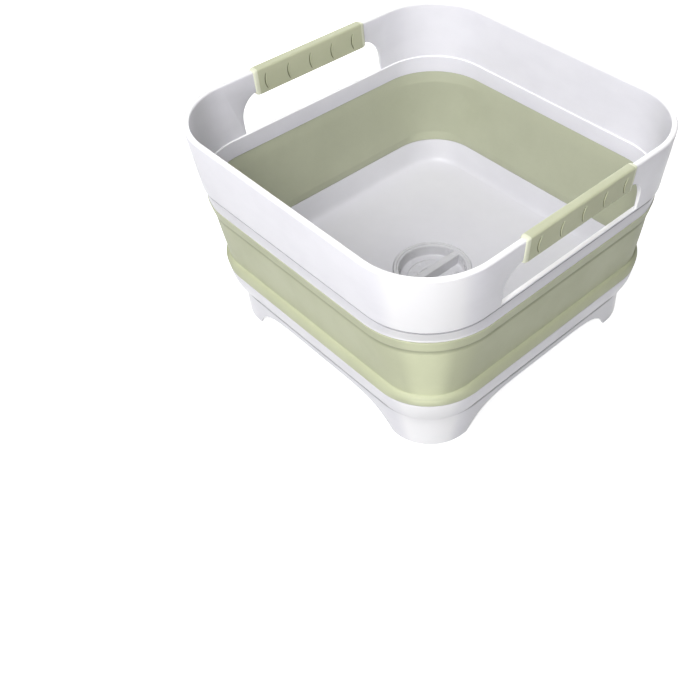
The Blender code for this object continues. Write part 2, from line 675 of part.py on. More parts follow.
def plug_profile():
    """The plug's section from the middle of its cup floor out over the flange and back underneath."""
    groove = PLUG_WALL_RADIUS
    rib = PLUG_WALL_RADIUS + GROOVE_RIB_RADIAL
    upper_rib_z = GASKET_TOP_Z + JOINT_GAP
    lower_rib_z = GASKET_FOOT_Z - JOINT_GAP
    cup_floor = PLUG_FOOT_Z + PLUG_FLOOR
    inner_foot = PLUG_CUP_RADIUS - PLUG_CUP_TAPER
    return [
        (0.0, cup_floor),
        (inner_foot - PLUG_EDGE, cup_floor),
        (inner_foot, cup_floor + PLUG_EDGE),
        (PLUG_CUP_RADIUS, PLUG_TOP_Z - PLUG_EDGE),
        (PLUG_CUP_RADIUS + PLUG_EDGE, PLUG_TOP_Z),
        (PLUG_FLANGE_RADIUS - PLUG_EDGE, PLUG_TOP_Z),
        (PLUG_FLANGE_RADIUS, PLUG_TOP_Z - PLUG_EDGE),
        (PLUG_FLANGE_RADIUS, PLUG_FLANGE_Z),
        (groove, PLUG_FLANGE_Z),
        (groove, upper_rib_z + GROOVE_RIB_HEIGHT),
        (rib, upper_rib_z + GROOVE_RIB_HEIGHT),
        (rib, upper_rib_z),
        (groove, upper_rib_z),
        (groove, lower_rib_z),
        (rib, lower_rib_z),
        (rib, lower_rib_z - GROOVE_RIB_HEIGHT),
        (groove, lower_rib_z - GROOVE_RIB_HEIGHT),
        (groove - PLUG_EDGE, PLUG_FOOT_Z),
        (0.0, PLUG_FOOT_Z),
    ]


def make_drain_plug(parts, cutters, material):
    """The plug: a turned cup with a bar across it."""
    plug = turned("drain_plug", plug_profile(), parts, material)
    half_width = PLUG_BAR_WIDTH / 2
    foot = PLUG_FOOT_Z + PLUG_FLOOR / 2
    top = PLUG_TOP_Z - PLUG_BAR_DROP
    outline = [
        (-half_width, foot),
        (half_width, foot),
        (half_width, top - PLUG_EDGE),
        (half_width - PLUG_EDGE, top),
        (PLUG_EDGE - half_width, top),
        (-half_width, top - PLUG_EDGE),
    ]
    reach = (PLUG_CUP_RADIUS + PLUG_WALL_RADIUS) / 2
    plug = as_plain_mesh(plug)
    bar = prism("plug_bar", outline, "X", -reach, reach, cutters)
    combine(plug, bar, "UNION")
    return plug, bar


def make_plug_gasket(parts, material):
    """The sealing ring: a flat back in the groove and two soft lips towards the well."""
    inner = PLUG_WALL_RADIUS + JOINT_GAP
    outer = PLUG_WALL_RADIUS + GASKET_RADIAL + JOINT_GAP
    lip = GASKET_HEIGHT * GASKET_LIP_SHARE
    waist = outer - GASKET_RADIAL * GASKET_WAIST_SHARE
    profile = [
        (inner, GASKET_TOP_Z),
        (waist, GASKET_TOP_Z),
        (outer, GASKET_TOP_Z - lip),
        (waist, (GASKET_TOP_Z + GASKET_FOOT_Z) / 2),
        (outer, GASKET_FOOT_Z + lip),
        (waist, GASKET_FOOT_Z),
        (inner, GASKET_FOOT_Z),
    ]
    return as_plain_mesh(turned("plug_gasket", profile, parts, material))


def carry(name, place, pieces, parts):
    """Hangs pieces on an empty that stands on their joint's axis."""
    empty = bpy.data.objects.new(name, None)
    empty.location = place
    parts.objects.link(empty)
    bpy.context.view_layer.update()
    for piece in pieces:
        piece.parent = empty
        piece.matrix_parent_inverse = empty.matrix_world.inverted()
    return empty


def main():
    """Builds the basin."""
    clear_scene()
    parts = make_collection("washbasin")
    cutters = make_collection("cutters")

    make_base_tray(parts, cutters, make_material("tray_plastic", WHITE, 0.3))
    make_bellows(parts, make_material("bellows_rubber", GREEN, 0.55))
    frame = make_rim_frame(parts, cutters, make_material("frame_plastic", WHITE, 0.28))
    left = make_grip("grip_left", -1, parts, cutters, make_material("grip_left_rubber", GREEN, 0.6))
    right = make_grip("grip_right", 1, parts, cutters, make_material("grip_right_rubber", GREEN, 0.6))
    plug, bar = make_drain_plug(parts, cutters, make_material("plug_plastic", WHITE, 0.3))
    gasket = make_plug_gasket(parts, make_material("gasket_rubber", GREY, 0.7))
    for piece in (plug, bar):
        piece.rotation_euler = (0.0, 0.0, PLUG_BAR_ANGLE)

    carry("collapse_slide", (0.0, 0.0, FLANGE_Z), (frame, left, right), parts)
    carry("plug_axis", (0.0, 0.0, PLUG_TOP_Z), (plug, gasket), parts)
    bpy.context.view_layer.update()


if __name__ == "__main__":
    main()
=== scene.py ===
"""Looks of a collapsible square washbasin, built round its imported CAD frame.

Each sub-assembly is one class: the upper frame, the soft folding wall, the legged tray, the two grips, and
the drain plug with its gasket. Sizes are in metres and in the frame's own coordinates.
"""

import logging
import math
from dataclasses import dataclass
from enum import Enum
from typing import Any, Optional, Sequence

import bmesh
import bpy
from mathutils import Matrix, Vector


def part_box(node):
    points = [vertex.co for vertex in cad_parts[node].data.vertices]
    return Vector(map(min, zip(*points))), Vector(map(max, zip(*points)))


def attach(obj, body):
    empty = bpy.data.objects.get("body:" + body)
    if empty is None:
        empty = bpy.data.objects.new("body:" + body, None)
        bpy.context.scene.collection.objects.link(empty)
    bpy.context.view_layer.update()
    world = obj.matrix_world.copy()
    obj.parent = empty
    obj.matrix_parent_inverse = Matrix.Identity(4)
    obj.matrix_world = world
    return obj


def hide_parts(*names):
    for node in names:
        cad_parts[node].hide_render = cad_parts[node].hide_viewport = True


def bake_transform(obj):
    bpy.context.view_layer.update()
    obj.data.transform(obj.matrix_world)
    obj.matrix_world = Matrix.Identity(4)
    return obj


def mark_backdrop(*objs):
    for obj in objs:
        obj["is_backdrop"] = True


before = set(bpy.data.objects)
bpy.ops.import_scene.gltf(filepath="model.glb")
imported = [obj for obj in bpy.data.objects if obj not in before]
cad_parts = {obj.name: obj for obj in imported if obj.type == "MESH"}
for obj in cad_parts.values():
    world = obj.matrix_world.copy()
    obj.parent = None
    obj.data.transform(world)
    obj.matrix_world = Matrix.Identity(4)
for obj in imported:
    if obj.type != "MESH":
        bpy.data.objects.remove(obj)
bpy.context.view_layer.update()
LOG = logging.getLogger("washbasin")

Triple = tuple[float, float, float]
Point = tuple[float, float]
Span = tuple[float, float]

JOINT_GAP = 0.0003
CUT_OVERRUN = 0.005
ROUNDING_ERROR = 1e-9
EVEN = (1.0, 1.0, 1.0)
WHITE = (1.0, 1.0, 1.0)

# Faces along one corner of a rounded square, round a full turn, along a rounding and across an eased edge
CORNER_STEPS = 22
TURN_STEPS = 96
ROUNDING_STEPS = 4
TRAY_ROUNDING_STEPS = 5
TURNED_ROUNDING_STEPS = 3
EASED_STEPS = 3

# The most of a stretch that the rounding at its end may take
ROUNDING_SHARE = 0.48

# Angles in degrees from which an edge stays sharp, stays sharp after a cut, and is eased
SHARP_ANGLE = 32.0
CUT_SHARP_ANGLE = 40.0
EASED_ANGLE = 62.0

# Roundings of moulded edges, from a sharp one to a full one
SHARP = 0.0
TIGHT = 0.0002
CRISP = 0.0003
FINE = 0.0004
EASED = 0.0005
SOFT = 0.0006
PLUMP = 0.0008
FULL = 0.0010

# How far out a face looks where it turns from the inside to the outside, and where it is all outside
TURNING_OUT: Span = (-0.03, 0.03)
OUTSIDE: Span = (0.03, 0.07)

# Half the width of a painted shade strip's crisp edge, and how far below a step the painted shadow under it
# ends and begins
SHADE_EDGE = 0.0003
STEP_SHADE_FOOT = 0.0046
STEP_SHADE_TOP = 0.0002

# The colour sockets of a Mix node by place, because their names come more than once
MIX_FACTOR, MIX_FIRST, MIX_SECOND, MIX_RESULT = 0, 6, 7, 2


class Side(Enum):
    """The two handle sides of the basin."""

    LEFT = -1
    RIGHT = 1

    @property
    def node(self) -> str:
        """Name of the CAD node of this side's grip."""
        return "grip_left" if self is Side.LEFT else "grip_right"


class Slot(Enum):
    """Names of the material slots."""

    WHITE = "white_plastic"
    GREEN = "green_rubber"
    GREY = "grey_rubber"


class Axis(Enum):
    """The level way that a flat outline is drawn out."""

    X = "X"
    Y = "Y"

    def point(self, along: float, across: float, up: float) -> Vector:
        """The point at a distance along this axis, across it and up."""
        return Vector((along, across, up)) if self is Axis.X else Vector((across, along, up))


# Outlines and meshes


@dataclass(frozen=True)
class Ring:
    """One level outline: a rounded square, or a circle where its corner radius reaches its half-width."""

    half: float
    corner: float
    z: float

    def inset(self, distance: float, rise: float = 0.0) -> "Ring":
        """Moves the outline inwards, its corner kept concentric.

        Args:
            distance: How far inwards; below zero it moves outwards.
            rise: How far up.

        Returns:
            The moved outline.
        """
        return Ring(self.half - distance, self.corner - distance, self.z + rise)

    def towards(self, other: "Ring", share: float) -> "Ring":
        """Finds the outline a share of the way to another one.

        Args:
            other: The outline at share 1.
            share: Where between the two.

        Returns:
            The outline between them.
        """
        return Ring(
            self.half + (other.half - self.half) * share,
            self.corner + (other.corner - self.corner) * share,
            self.z + (other.z - self.z) * share,
        )

    def apart(self, other: "Ring") -> float:
        """Distance to another outline in the section."""
        return math.dist((self.half, self.z), (other.half, other.z))

    def points(self) -> list[Vector]:
        """Draws the outline counter-clockwise from above, with the same number of points for every ring.

        Returns:
            Its points.
        """
        if self.corner >= self.half - ROUNDING_ERROR:
            count = 4 * (CORNER_STEPS + 1)
            pitch = 2 * math.pi / count
            start = math.pi / 4 - CORNER_STEPS / 2 * pitch
            angles = [start + index * pitch for index in range(count)]
            return [Vector((self.half * math.cos(a), self.half * math.sin(a), self.z)) for a in angles]
        centre = self.half - self.corner
        found = []
        for quarter in range(4):
            turn = Matrix.Rotation(quarter * math.pi / 2, 3, "Z")
            for step in range(CORNER_STEPS + 1):
                angle = step / CORNER_STEPS * math.pi / 2
                x = centre + self.corner * math.cos(angle)
                y = centre + self.corner * math.sin(angle)
                found.append(turn @ Vector((x, y, self.z)))
        return found


Stop = tuple[Ring, float]


def circle(radius: float, z: float) -> Ring:
    """A ring that is a circle."""
    return Ring(radius, radius, z)


def arc(centre: Point, radius: float, start: float, end: float, steps: int) -> list[Point]:
    """Draws an arc.

    Args:
        centre: Its centre.
        radius: Its radius.
        start: The angle in degrees at its start.
        end: The angle in degrees at its end.
        steps: How many stretches it has.

    Returns:
        Its points from start to end.
    """
    angles = [math.radians(start + (end - start) * step / steps) for step in range(steps + 1)]
    return [(centre[0] + radius * math.cos(a), centre[1] + radius * math.sin(a)) for a in angles]


def soften(stops: Sequence[Stop], closed: bool = True, steps: int = ROUNDING_STEPS) -> list[Ring]:
    """Rounds the corners of a section that is given as outlines with a rounding each.

    Args:
        stops: Outlines in order along the section, each with the length of its rounding.
        closed: Whether the last outline joins the first.
        steps: Faces along each rounding.

    Returns:
        The outlines to skin.
    """
    count = len(stops)
    found: list[Ring] = []
    for index, (ring, radius) in enumerate(stops):
        ends = not closed and index in (0, count - 1)
        if radius <= SHARP or ends:
            found.append(ring)
            continue
        before, after = stops[index - 1][0], stops[(index + 1) % count][0]
        start = ring.towards(before, min(radius / ring.apart(before), ROUNDING_SHARE))
        end = ring.towards(after, min(radius / ring.apart(after), ROUNDING_SHARE))
        for step in range(steps + 1):
            share = step / steps
            found.append(start.towards(ring, share).towards(ring.towards(end, share), share))
    return found


def refine(rings: Sequence[Ring], longest: float) -> list[Ring]:
    """Splits the long stretches of a closed section, so that it can bend along them.

    Args:
        rings: The section's outlines.
        longest: The most that two neighbouring outlines may lie apart.

    Returns:
        The outlines with others between them.
    """
    found: list[Ring] = []
    for index, ring in enumerate(rings):
        following = rings[(index + 1) % len(rings)]
        parts = max(1, math.ceil(ring.apart(following) / longest))
        found += [ring.towards(following, part / parts) for part in range(parts)]
    return found


def smooth(mesh: bpy.types.Mesh, angle: float) -> None:
    """Shades a mesh smooth, apart from the edges that are sharper than an angle in degrees."""
    mesh.shade_smooth()
    mesh.set_sharp_from_angle(angle=math.radians(angle))


def to_object(name: str, shape: bmesh.types.BMesh) -> bpy.types.Object:
    """Turns a working mesh into an object with outward faces and smooth round sides.

    Args:
        name: The object's name.
        shape: The working mesh, freed here.

    Returns:
        The new object.
    """
    bmesh.ops.recalc_face_normals(shape, faces=shape.faces)
    mesh = bpy.data.meshes.new(name)
    shape.to_mesh(mesh)
    shape.free()
    smooth(mesh, SHARP_ANGLE)
    item = bpy.data.objects.new(name, mesh)
    bpy.context.scene.collection.objects.link(item)
    return item


def skin(shape: bmesh.types.BMesh, loops: Sequence[Sequence[Vector]], closed: bool) -> None:
    """Skins a row of loops that have as many points each.

    Args:
        shape: The working mesh.
        loops: The loops in order.
        closed: Whether the last loop joins the first; otherwise both ends are capped.
    """
    levels = [[shape.verts.new(point) for point in loop] for loop in loops]
    pairs = list(zip(levels, levels[1:]))
    if closed:
        pairs.append((levels[-1], levels[0]))
    else:
        shape.faces.new(list(reversed(levels[0])))
        shape.faces.new(levels[-1])
    for below, above in pairs:
        for index in range(len(below)):
            following = (index + 1) % len(below)
            shape.faces.new((below[index], below[following], above[following], above[index]))


def loft(name: str, rings: Sequence[Ring], closed: bool = True) -> bpy.types.Object:
    """Skins a section that runs round the basin.

    Args:
        name: The object's name.
        rings: The section's outlines.
        closed: Whether the section closes on itself.

    Returns:
        The new object.
    """
    shape = bmesh.new()
    skin(shape, [ring.points() for ring in rings], closed)
    return to_object(name, shape)


def lathe(shape: bmesh.types.BMesh, profile: Sequence[Triple], closed: bool) -> None:
    """Turns a profile round Z, its corners rounded.

    Args:
        shape: The working mesh.
        profile: Points as (radius, height, rounding).
        closed: Whether the profile closes on itself; otherwise its ends are capped.
    """
    rings = soften([(circle(r, z), rounding) for r, z, rounding in profile], closed, TURNED_ROUNDING_STEPS)
    angles = [index / TURN_STEPS * 2 * math.pi for index in range(TURN_STEPS)]
    loops = []
    for ring in rings:
        loops.append([Vector((ring.half * math.cos(a), ring.half * math.sin(a), ring.z)) for a in angles])
    skin(shape, loops, closed)


def bake_modifiers(item: bpy.types.Object) -> None:
    """Writes what a piece's modifiers make into its mesh.

    Args:
        item: The piece.
    """
    graph = bpy.context.evaluated_depsgraph_get()
    made = bpy.data.meshes.new_from_object(item.evaluated_get(graph))
    old = item.data
    item.modifiers.clear()
    item.data = made
    bpy.data.meshes.remove(old)


def carve(item: bpy.types.Object, cutter: bpy.types.Object) -> None:
    """Cuts a shape out of a piece for good, and removes the shape.

    Args:
        item: The piece.
        cutter: The shape to take away.
    """
    modifier = item.modifiers.new("Cut", "BOOLEAN")
    modifier.operation = "DIFFERENCE"
    modifier.solver = "EXACT"
    modifier.object = cutter
    bake_modifiers(item)
    bpy.data.objects.remove(cutter, do_unlink=True)


def ease_edges(item: bpy.types.Object, width: float) -> None:
    """Rounds the sharp edges that a cut has left on a piece.

    Args:
        item: The piece.
        width: The width of the rounding.
    """
    modifier = item.modifiers.new("Ease", "BEVEL")
    modifier.width = width
    modifier.segments = EASED_STEPS
    modifier.limit_method = "ANGLE"
    modifier.angle_limit = math.radians(EASED_ANGLE)
    modifier.use_clamp_overlap = False
    modifier.harden_normals = False
    bake_modifiers(item)
    smooth(item.data, CUT_SHARP_ANGLE)


def prism(name: str, outline: Sequence[Point], axis: Axis, start: float, end: float) -> bpy.types.Object:
    """Draws a flat outline out on both sides of the middle, to cut with.

    Args:
        name: The object's name.
        outline: Points as (across, up).
        axis: The way that it is drawn out.
        start: How far from the middle each half begins.
        end: How far from the middle each half ends.

    Returns:
        The new object.
    """
    shape = bmesh.new()
    for span in ((-end, -start), (start, end)):
        skin(shape, [[axis.point(along, *place) for place in outline] for along in span], closed=False)
    return to_object(name, shape)


# Shader maths


@dataclass
class Wire:
    """One output of a shader node, on which Python's operators add Math nodes."""

    made: "Nodes"
    socket: bpy.types.NodeSocket

    def _maths(self, operation: str, first: Any, second: Any) -> "Wire":
        """Adds a Math node on two wires or numbers."""
        return self.made.node("ShaderNodeMath", {"operation": operation}, {0: first, 1: second})

    def __add__(self, other: Any) -> "Wire":
        """Sum."""
        return self._maths("ADD", self, other)

    __radd__ = __add__

    def __rsub__(self, other: Any) -> "Wire":
        """Difference from a number."""
        return self._maths("SUBTRACT", other, self)

    def __mul__(self, other: Any) -> "Wire":
        """Product."""
        return self._maths("MULTIPLY", self, other)

    __rmul__ = __mul__

    def clamp(self) -> "Wire":
        """The value held between 0 and 1."""
        return self.made.node("ShaderNodeClamp", {}, {"Value": self})

    def window(self, low: float, high: float) -> "Wire":
        """Rises smoothly from 0 to 1 between two values.

        Args:
            low: Where it leaves 0.
            high: Where it reaches 1.

        Returns:
            The eased value.
        """
        settings = {"interpolation_type": "SMOOTHSTEP"}
        values = {"Value": self, "From Min": low, "From Max": high}
        return self.made.node("ShaderNodeMapRange", settings, values)

    def between(self, low: Any, high: Any) -> "Wire":
        """Mixes two colours by this value.

        Args:
            low: The colour at 0.
            high: The colour at 1.

        Returns:
            The mixed colour.
        """
        return self.made.blend("MIX", self, low, high)


class Nodes:
    """A node tree that is wired from nothing, of a material or of the world."""

    def __init__(self, tree: bpy.types.NodeTree, output: str) -> None:
        """Empties the tree and gives it an output.

        Args:
            tree: The node tree.
            output: The type of its output node.
        """
        self.tree = tree
        self.tree.nodes.clear()
        self.output = self.tree.nodes.new(output)

    def node(
        self, kind: str, settings: dict[str, Any], values: dict[Any, Any], output: int | str = 0,
    ) -> Wire:
        """Adds any node.

        Args:
            kind: The node's type.
            settings: Its own settings, set before its sockets.
            values: Numbers, colours or wires by socket name or place.
            output: Which output to give back.

        Returns:
            That output.
        """
        made = self.tree.nodes.new(kind)
        for name, value in settings.items():
            setattr(made, name, value)
        for place, value in values.items():
            socket = made.inputs[place]
            if isinstance(value, Wire):
                self.tree.links.new(value.socket, socket)
            elif socket.type == "RGBA":
                socket.default_value = (*value, 1.0)
            else:
                socket.default_value = value
        return Wire(self, made.outputs[output])

    def blend(self, kind: str, factor: Any, first: Any, second: Any) -> Wire:
        """Mixes two colours.

        Args:
            kind: The Mix node's blend type.
            factor: How much of the second.
            first: The colour at 0.
            second: The colour at 1.

        Returns:
            The mixed colour.
        """
        settings = {"data_type": "RGBA", "blend_type": kind}
        values = {MIX_FACTOR: factor, MIX_FIRST: first, MIX_SECOND: second}
        return self.node("ShaderNodeMix", settings, values, MIX_RESULT)

    def show(self, surface: Wire) -> None:
        """Leads a shader to the output."""
        self.tree.links.new(surface.socket, self.output.inputs["Surface"])


@dataclass(frozen=True)
class Noise:
    """Soft noise: its waves per metre, its finer layers, how strong these are, its stretch and its fade.

    Where there is a fade, the noise rises from 0 to 1 between those two of its values.
    """

    scale: float
    detail: float
    rough: float
    stretch: Triple = EVEN
    fade: Optional[Span] = None


@dataclass(frozen=True)
class Seam:
    """A level strip of the outside darkened as painted shade: its heights, its light and its soft lower end.
    """

    low: float
    high: float
    light: float
    soft: float = SHADE_EDGE

    @classmethod
    def under_step(cls, z: float, light: float, soft: float) -> "Seam":
        """Finds the strip of painted shadow under an overhanging step.

        Args:
            z: The step's height.
            light: How light the strip stays.
            soft: How softly it ends below.

        Returns:
            The seam.
        """
        return cls(z - STEP_SHADE_FOOT, z - STEP_SHADE_TOP, light, soft)


class Shader(Nodes):
    """One material and what is wired in it."""

    def __init__(self, name: str) -> None:
        """Starts a material.

        Args:
            name: The material's name.
        """
        self.material = bpy.data.materials.new(name)
        self.material.use_nodes = True
        super().__init__(self.material.node_tree, "ShaderNodeOutputMaterial")

    def place(self, stretch: Triple = EVEN) -> Wire:
        """The point on the object in metres, each way multiplied.

        Args:
            stretch: The multiplier of X, Y and Z.

        Returns:
            The scaled point.
        """
        point = self.node("ShaderNodeTexCoord", {}, {}, "Object")
        if stretch == EVEN:
            return point
        return self.node("ShaderNodeMapping", {}, {"Vector": point, "Scale": stretch})

    def facing(self) -> Wire:
        """The way that the surface looks."""
        return self.node("ShaderNodeTexCoord", {}, {}, "Normal")

    def part(self, vector: Wire, axis: str) -> Wire:
        """The X, Y or Z of a vector."""
        return self.node("ShaderNodeSeparateXYZ", {}, {0: vector}, axis)

    def height(self) -> Wire:
        """The height above the ground in metres."""
        return self.part(self.place(), "Z")

    def outward(self) -> Wire:
        """How much the surface looks away from the basin's upright middle line; below zero, towards it."""
        values = {0: self.facing(), 1: self.place((1.0, 1.0, 0.0))}
        return self.node("ShaderNodeVectorMath", {"operation": "DOT_PRODUCT"}, values, "Value")

    def corners(self) -> Wire:
        """Finds the four corners by the way that the surface looks.

        Returns:
            1 straight into or out of a corner, 0 on the flat sides.
        """
        facing = self.facing()
        across = self.part(facing, "X") * self.part(facing, "Y")
        return across * across * 4.0

    def far_along(self, low: float, high: float) -> Wire:
        """Finds both ends of a piece that lies along Y.

        Args:
            low: Distance from the middle where the ends begin.
            high: Distance where they are full.

        Returns:
            1 at the ends, 0 between them.
        """
        along = self.part(self.place(), "Y")
        return (along * along).window(low * low, high * high)

    def noise(self, kind: Noise) -> Wire:
        """Soft noise over the surface.

        Args:
            kind: Its waves and its fade.

        Returns:
            The noise, about 0 to 1.
        """
        values = {"Vector": self.place(kind.stretch), "Scale": kind.scale, "Detail": kind.detail,
                  "Roughness": kind.rough}
        made = self.node("ShaderNodeTexNoise", {}, values)
        return made.window(*kind.fade) if kind.fade else made

    def cells(self, scale: float) -> Wire:
        """Distance to the middle of the nearest of so many cells per metre."""
        return self.node("ShaderNodeTexVoronoi", {}, {"Vector": self.place(), "Scale": scale}, "Distance")

    def tint(self, tone: Wire, where: Wire, colour: Triple) -> Wire:
        """Multiplies a tone by a colour where a mask is 1."""
        return self.blend("MULTIPLY", where, tone, colour)

    def paint_shade_strips(self, tone: Wire, shade_strips: Sequence[Seam]) -> Wire:
        """Darkens the outside along level strips as painted shade, such as the shadow under a step.

        Args:
            tone: The colour before the painted shade.
            shade_strips: The strips of painted shade.

        Returns:
            The colour with its painted shade strips.
        """
        for shade_strip in shade_strips:
            level = self.height()
            over = level.window(shade_strip.low - shade_strip.soft, shade_strip.low + shade_strip.soft)
            under = 1.0 - level.window(shade_strip.high - SHADE_EDGE, shade_strip.high + SHADE_EDGE)
            tone = self.tint(tone, over * under * self.outward().window(*OUTSIDE), (shade_strip.light,) * 3)
        return tone

    def relief(self, layers: Sequence[tuple[Wire, float, float]]) -> Wire:
        """Stacks bumps.

        Args:
            layers: Each a height, its strength and its depth in metres.

        Returns:
            The bent normal.
        """
        normal: Optional[Wire] = None
        for height, strength, depth in layers:
            values: dict[Any, Any] = {"Height": height, "Strength": strength, "Distance": depth}
            if normal:
                values["Normal"] = normal
            normal = self.node("ShaderNodeBump", {}, values)
        assert normal
        return normal

    def finish(self, values: dict[str, Any]) -> bpy.types.Material:
        """Ends the material in a Principled shader.

        Args:
            values: Numbers, colours or wires of the shader's sockets.

        Returns:
            The material.
        """
        self.show(self.node("ShaderNodeBsdfPrincipled", {}, values))
        return self.material


# Finishes


@dataclass(frozen=True)
class WhitePlastic:
    """Satin moulded polypropylene: faint flow marks, a fine spark-eroded grain and softly worn patches.

    The corners get a painted highlight, and the rim and the level edges too where their heights are given. A
    tray's inside is darkened as painted shade. The spans say between which values a mask rises.
    """

    tone: Triple = (0.850, 0.842, 0.895)
    shade: Triple = (0.805, 0.797, 0.850)
    flow: Noise = Noise(16.0, 4.0, 0.55, (1.0, 1.0, 3.2), (0.32, 0.72))
    flow_share: float = 0.6
    cloud: Noise = Noise(55.0, 3.0, 0.5, EVEN, (0.35, 0.68))
    cloud_share: float = 0.25
    # Painted highlight on the corners (faintly inside too), on the rim and on the level edges, and its masks
    painted_highlight: Triple = (0.985, 0.980, 0.985)
    corner_highlight: float = 0.85
    corner_span: Span = (0.08, 0.60)
    inner_share: float = 0.08
    highlight_above: Optional[float] = None
    highlight_run: float = 0.0016
    edged_above: Optional[float] = None
    edge_run: float = 0.001
    not_inside: Span = (-0.095, -0.085)
    not_outside: Span = (0.02, 0.05)
    not_under: Span = (-0.5, -0.2)
    # Painted shade inside a tray: how light it stays, from what height and for which facings
    inside_shade: Optional[float] = None
    inside_shade_above: float = 0.040
    inside_shade_span: Span = (0.02, 0.04)
    # Strips of painted shade on the outside
    shade_strips: tuple[Seam, ...] = ()
    roughness: float = 0.30
    rub: Noise = Noise(34.0, 5.0, 0.62, EVEN, (0.46, 0.70))
    rub_rough: float = 0.13
    hair: Noise = Noise(120.0, 2.0, 0.5, (1.0, 0.06, 1.0), (0.60, 0.72))
    hair_rough: float = 0.05
    swell: Noise = Noise(22.0, 1.0, 0.4)
    swell_strength: float = 0.10
    swell_depth: float = 0.0012
    grain: Noise = Noise(2600.0, 2.0, 0.6)
    grain_strength: float = 0.10
    grain_depth: float = 0.00004
    ior: float = 1.49
    shine: float = 0.46

    def paint_highlights(self, made: Shader, tone: Wire) -> Wire:
        """Paints highlights on the corners, and on the rim and the level edges where their heights are given.

        Args:
            made: The material.
            tone: Its colour so far.

        Returns:
            The colour with its painted highlights on corners, rim and edges.
        """
        # Painted highlight on the corners, then on the rim and on the level edges
        outside = made.outward().window(*TURNING_OUT) * (1.0 - self.inner_share) + self.inner_share
        lit_corners = made.corners().window(*self.corner_span) * outside * self.corner_highlight
        tone = lit_corners.between(tone, self.painted_highlight)
        if self.highlight_above is not None:
            rim = made.height().window(self.highlight_above, self.highlight_above + self.highlight_run)
            tone = rim.between(tone, self.painted_highlight)
        if self.edged_above is not None:
            level = made.outward().window(*self.not_inside) * (1.0 - made.outward().window(*self.not_outside))
            level = level * made.part(made.facing(), "Z").window(*self.not_under)
            edge = level * made.height().window(self.edged_above, self.edged_above + self.edge_run)
            tone = edge.between(tone, self.painted_highlight)
        return tone

    def make(self, name: str) -> bpy.types.Material:
        """Makes the material.

        Args:
            name: The material's name.

        Returns:
            The material.
        """
        made = Shader(name)
        mottle = made.noise(self.flow) * self.flow_share + made.noise(self.cloud) * self.cloud_share
        tone = self.paint_highlights(made, mottle.clamp().between(self.tone, self.shade))
        # Painted shade: the inside of a tray is darkened above the given height
        if self.inside_shade is not None:
            inside = 1.0 - made.outward().window(*self.inside_shade_span)
            shaded = inside * made.height().window(self.inside_shade_above, self.inside_shade_above + self.edge_run)
            tone = made.tint(tone, shaded, (self.inside_shade,) * 3)
        rub, hair = made.noise(self.rub), made.noise(self.hair)
        return made.finish({
            "Base Color": made.paint_shade_strips(tone, self.shade_strips),
            "Roughness": self.roughness + rub * self.rub_rough + hair * self.hair_rough,
            "Normal": made.relief([
                (made.noise(self.swell), self.swell_strength, self.swell_depth),
                (made.noise(self.grain), self.grain_strength, self.grain_depth),
            ]),
            "IOR": self.ior,
            "Specular IOR Level": self.shine,
        })


@dataclass(frozen=True)
class SoftRubber:
    """Matt thermoplastic rubber: a fine leathery grain, uneven pigment and a pale bloom where it is handled.

    A wall has a painted highlight on its outer corners and painted shade inside. A sleeve's ends are paler
    from the distance that is given.
    """

    tone: Triple = (0.530, 0.555, 0.378)
    deep: Triple = (0.482, 0.506, 0.342)
    pigment: Noise = Noise(26.0, 4.0, 0.55, EVEN, (0.33, 0.70))
    pigment_share: float = 0.55
    pigment_rough: float = 0.08
    speck: Noise = Noise(420.0, 2.0, 0.5, EVEN, (0.55, 0.75))
    speck_share: float = 0.15
    bloom: Triple = (0.66, 0.675, 0.52)
    dust: Noise = Noise(70.0, 5.0, 0.65, (1.0, 1.0, 2.4), (0.52, 0.80))
    dust_share: float = 0.10
    dust_rough: float = 0.12
    # Painted highlight on the outer corners, and painted shade multiplied into the inside
    corner_highlight: float = 0.0
    corner_span: Span = (0.45, 1.0)
    inner: Triple = (0.92, 0.915, 0.985)
    pale_from: Optional[float] = None
    pale_run: float = 0.001
    pale: Triple = (1.42, 1.40, 1.60)
    # Strips of painted shade on the outside
    shade_strips: tuple[Seam, ...] = ()
    roughness: float = 0.50
    swell: Noise = Noise(30.0, 2.0, 0.5)
    swell_strength: float = 0.16
    swell_depth: float = 0.0012
    pore_scale: float = 1500.0
    grain: Noise = Noise(1900.0, 3.0, 0.6)
    grain_strength: float = 0.30
    grain_depth: float = 0.00006
    ior: float = 1.50
    shine: float = 0.40
    sheen: float = 0.06
    sheen_rough: float = 0.5

    def make(self, name: str) -> bpy.types.Material:
        """Makes the material.

        Args:
            name: The material's name.

        Returns:
            The material.
        """
        made = Shader(name)
        pigment, dust = made.noise(self.pigment), made.noise(self.dust)
        mottle = pigment * self.pigment_share + made.noise(self.speck) * self.speck_share
        tone = mottle.clamp().between(self.tone, self.deep)
        tone = (dust * self.dust_share).between(tone, self.bloom)
        # Painted highlight on the outer corners and painted shade on the inside
        if self.corner_highlight:
            lit_corners = made.corners().window(*self.corner_span) * made.outward().window(*OUTSIDE)
            tone = made.tint(tone, lit_corners, (1.0 + self.corner_highlight,) * 3)
            tone = made.tint(tone, 1.0 - made.outward().window(*TURNING_OUT), self.inner)
        if self.pale_from is not None:
            ends = made.far_along(self.pale_from, self.pale_from + self.pale_run)
            tone = made.tint(tone, ends, self.pale)
        leather = made.cells(self.pore_scale) * 0.5 + made.noise(self.grain) * 0.5
        return made.finish({
            "Base Color": made.paint_shade_strips(tone, self.shade_strips),
            "Roughness": self.roughness + pigment * self.pigment_rough + dust * self.dust_rough,
            "Normal": made.relief([
                (made.noise(self.swell), self.swell_strength, self.swell_depth),
                (leather, self.grain_strength, self.grain_depth),
            ]),
            "IOR": self.ior,
            "Specular IOR Level": self.shine,
            "Sheen Weight": self.sheen,
            "Sheen Roughness": self.sheen_rough,
        })


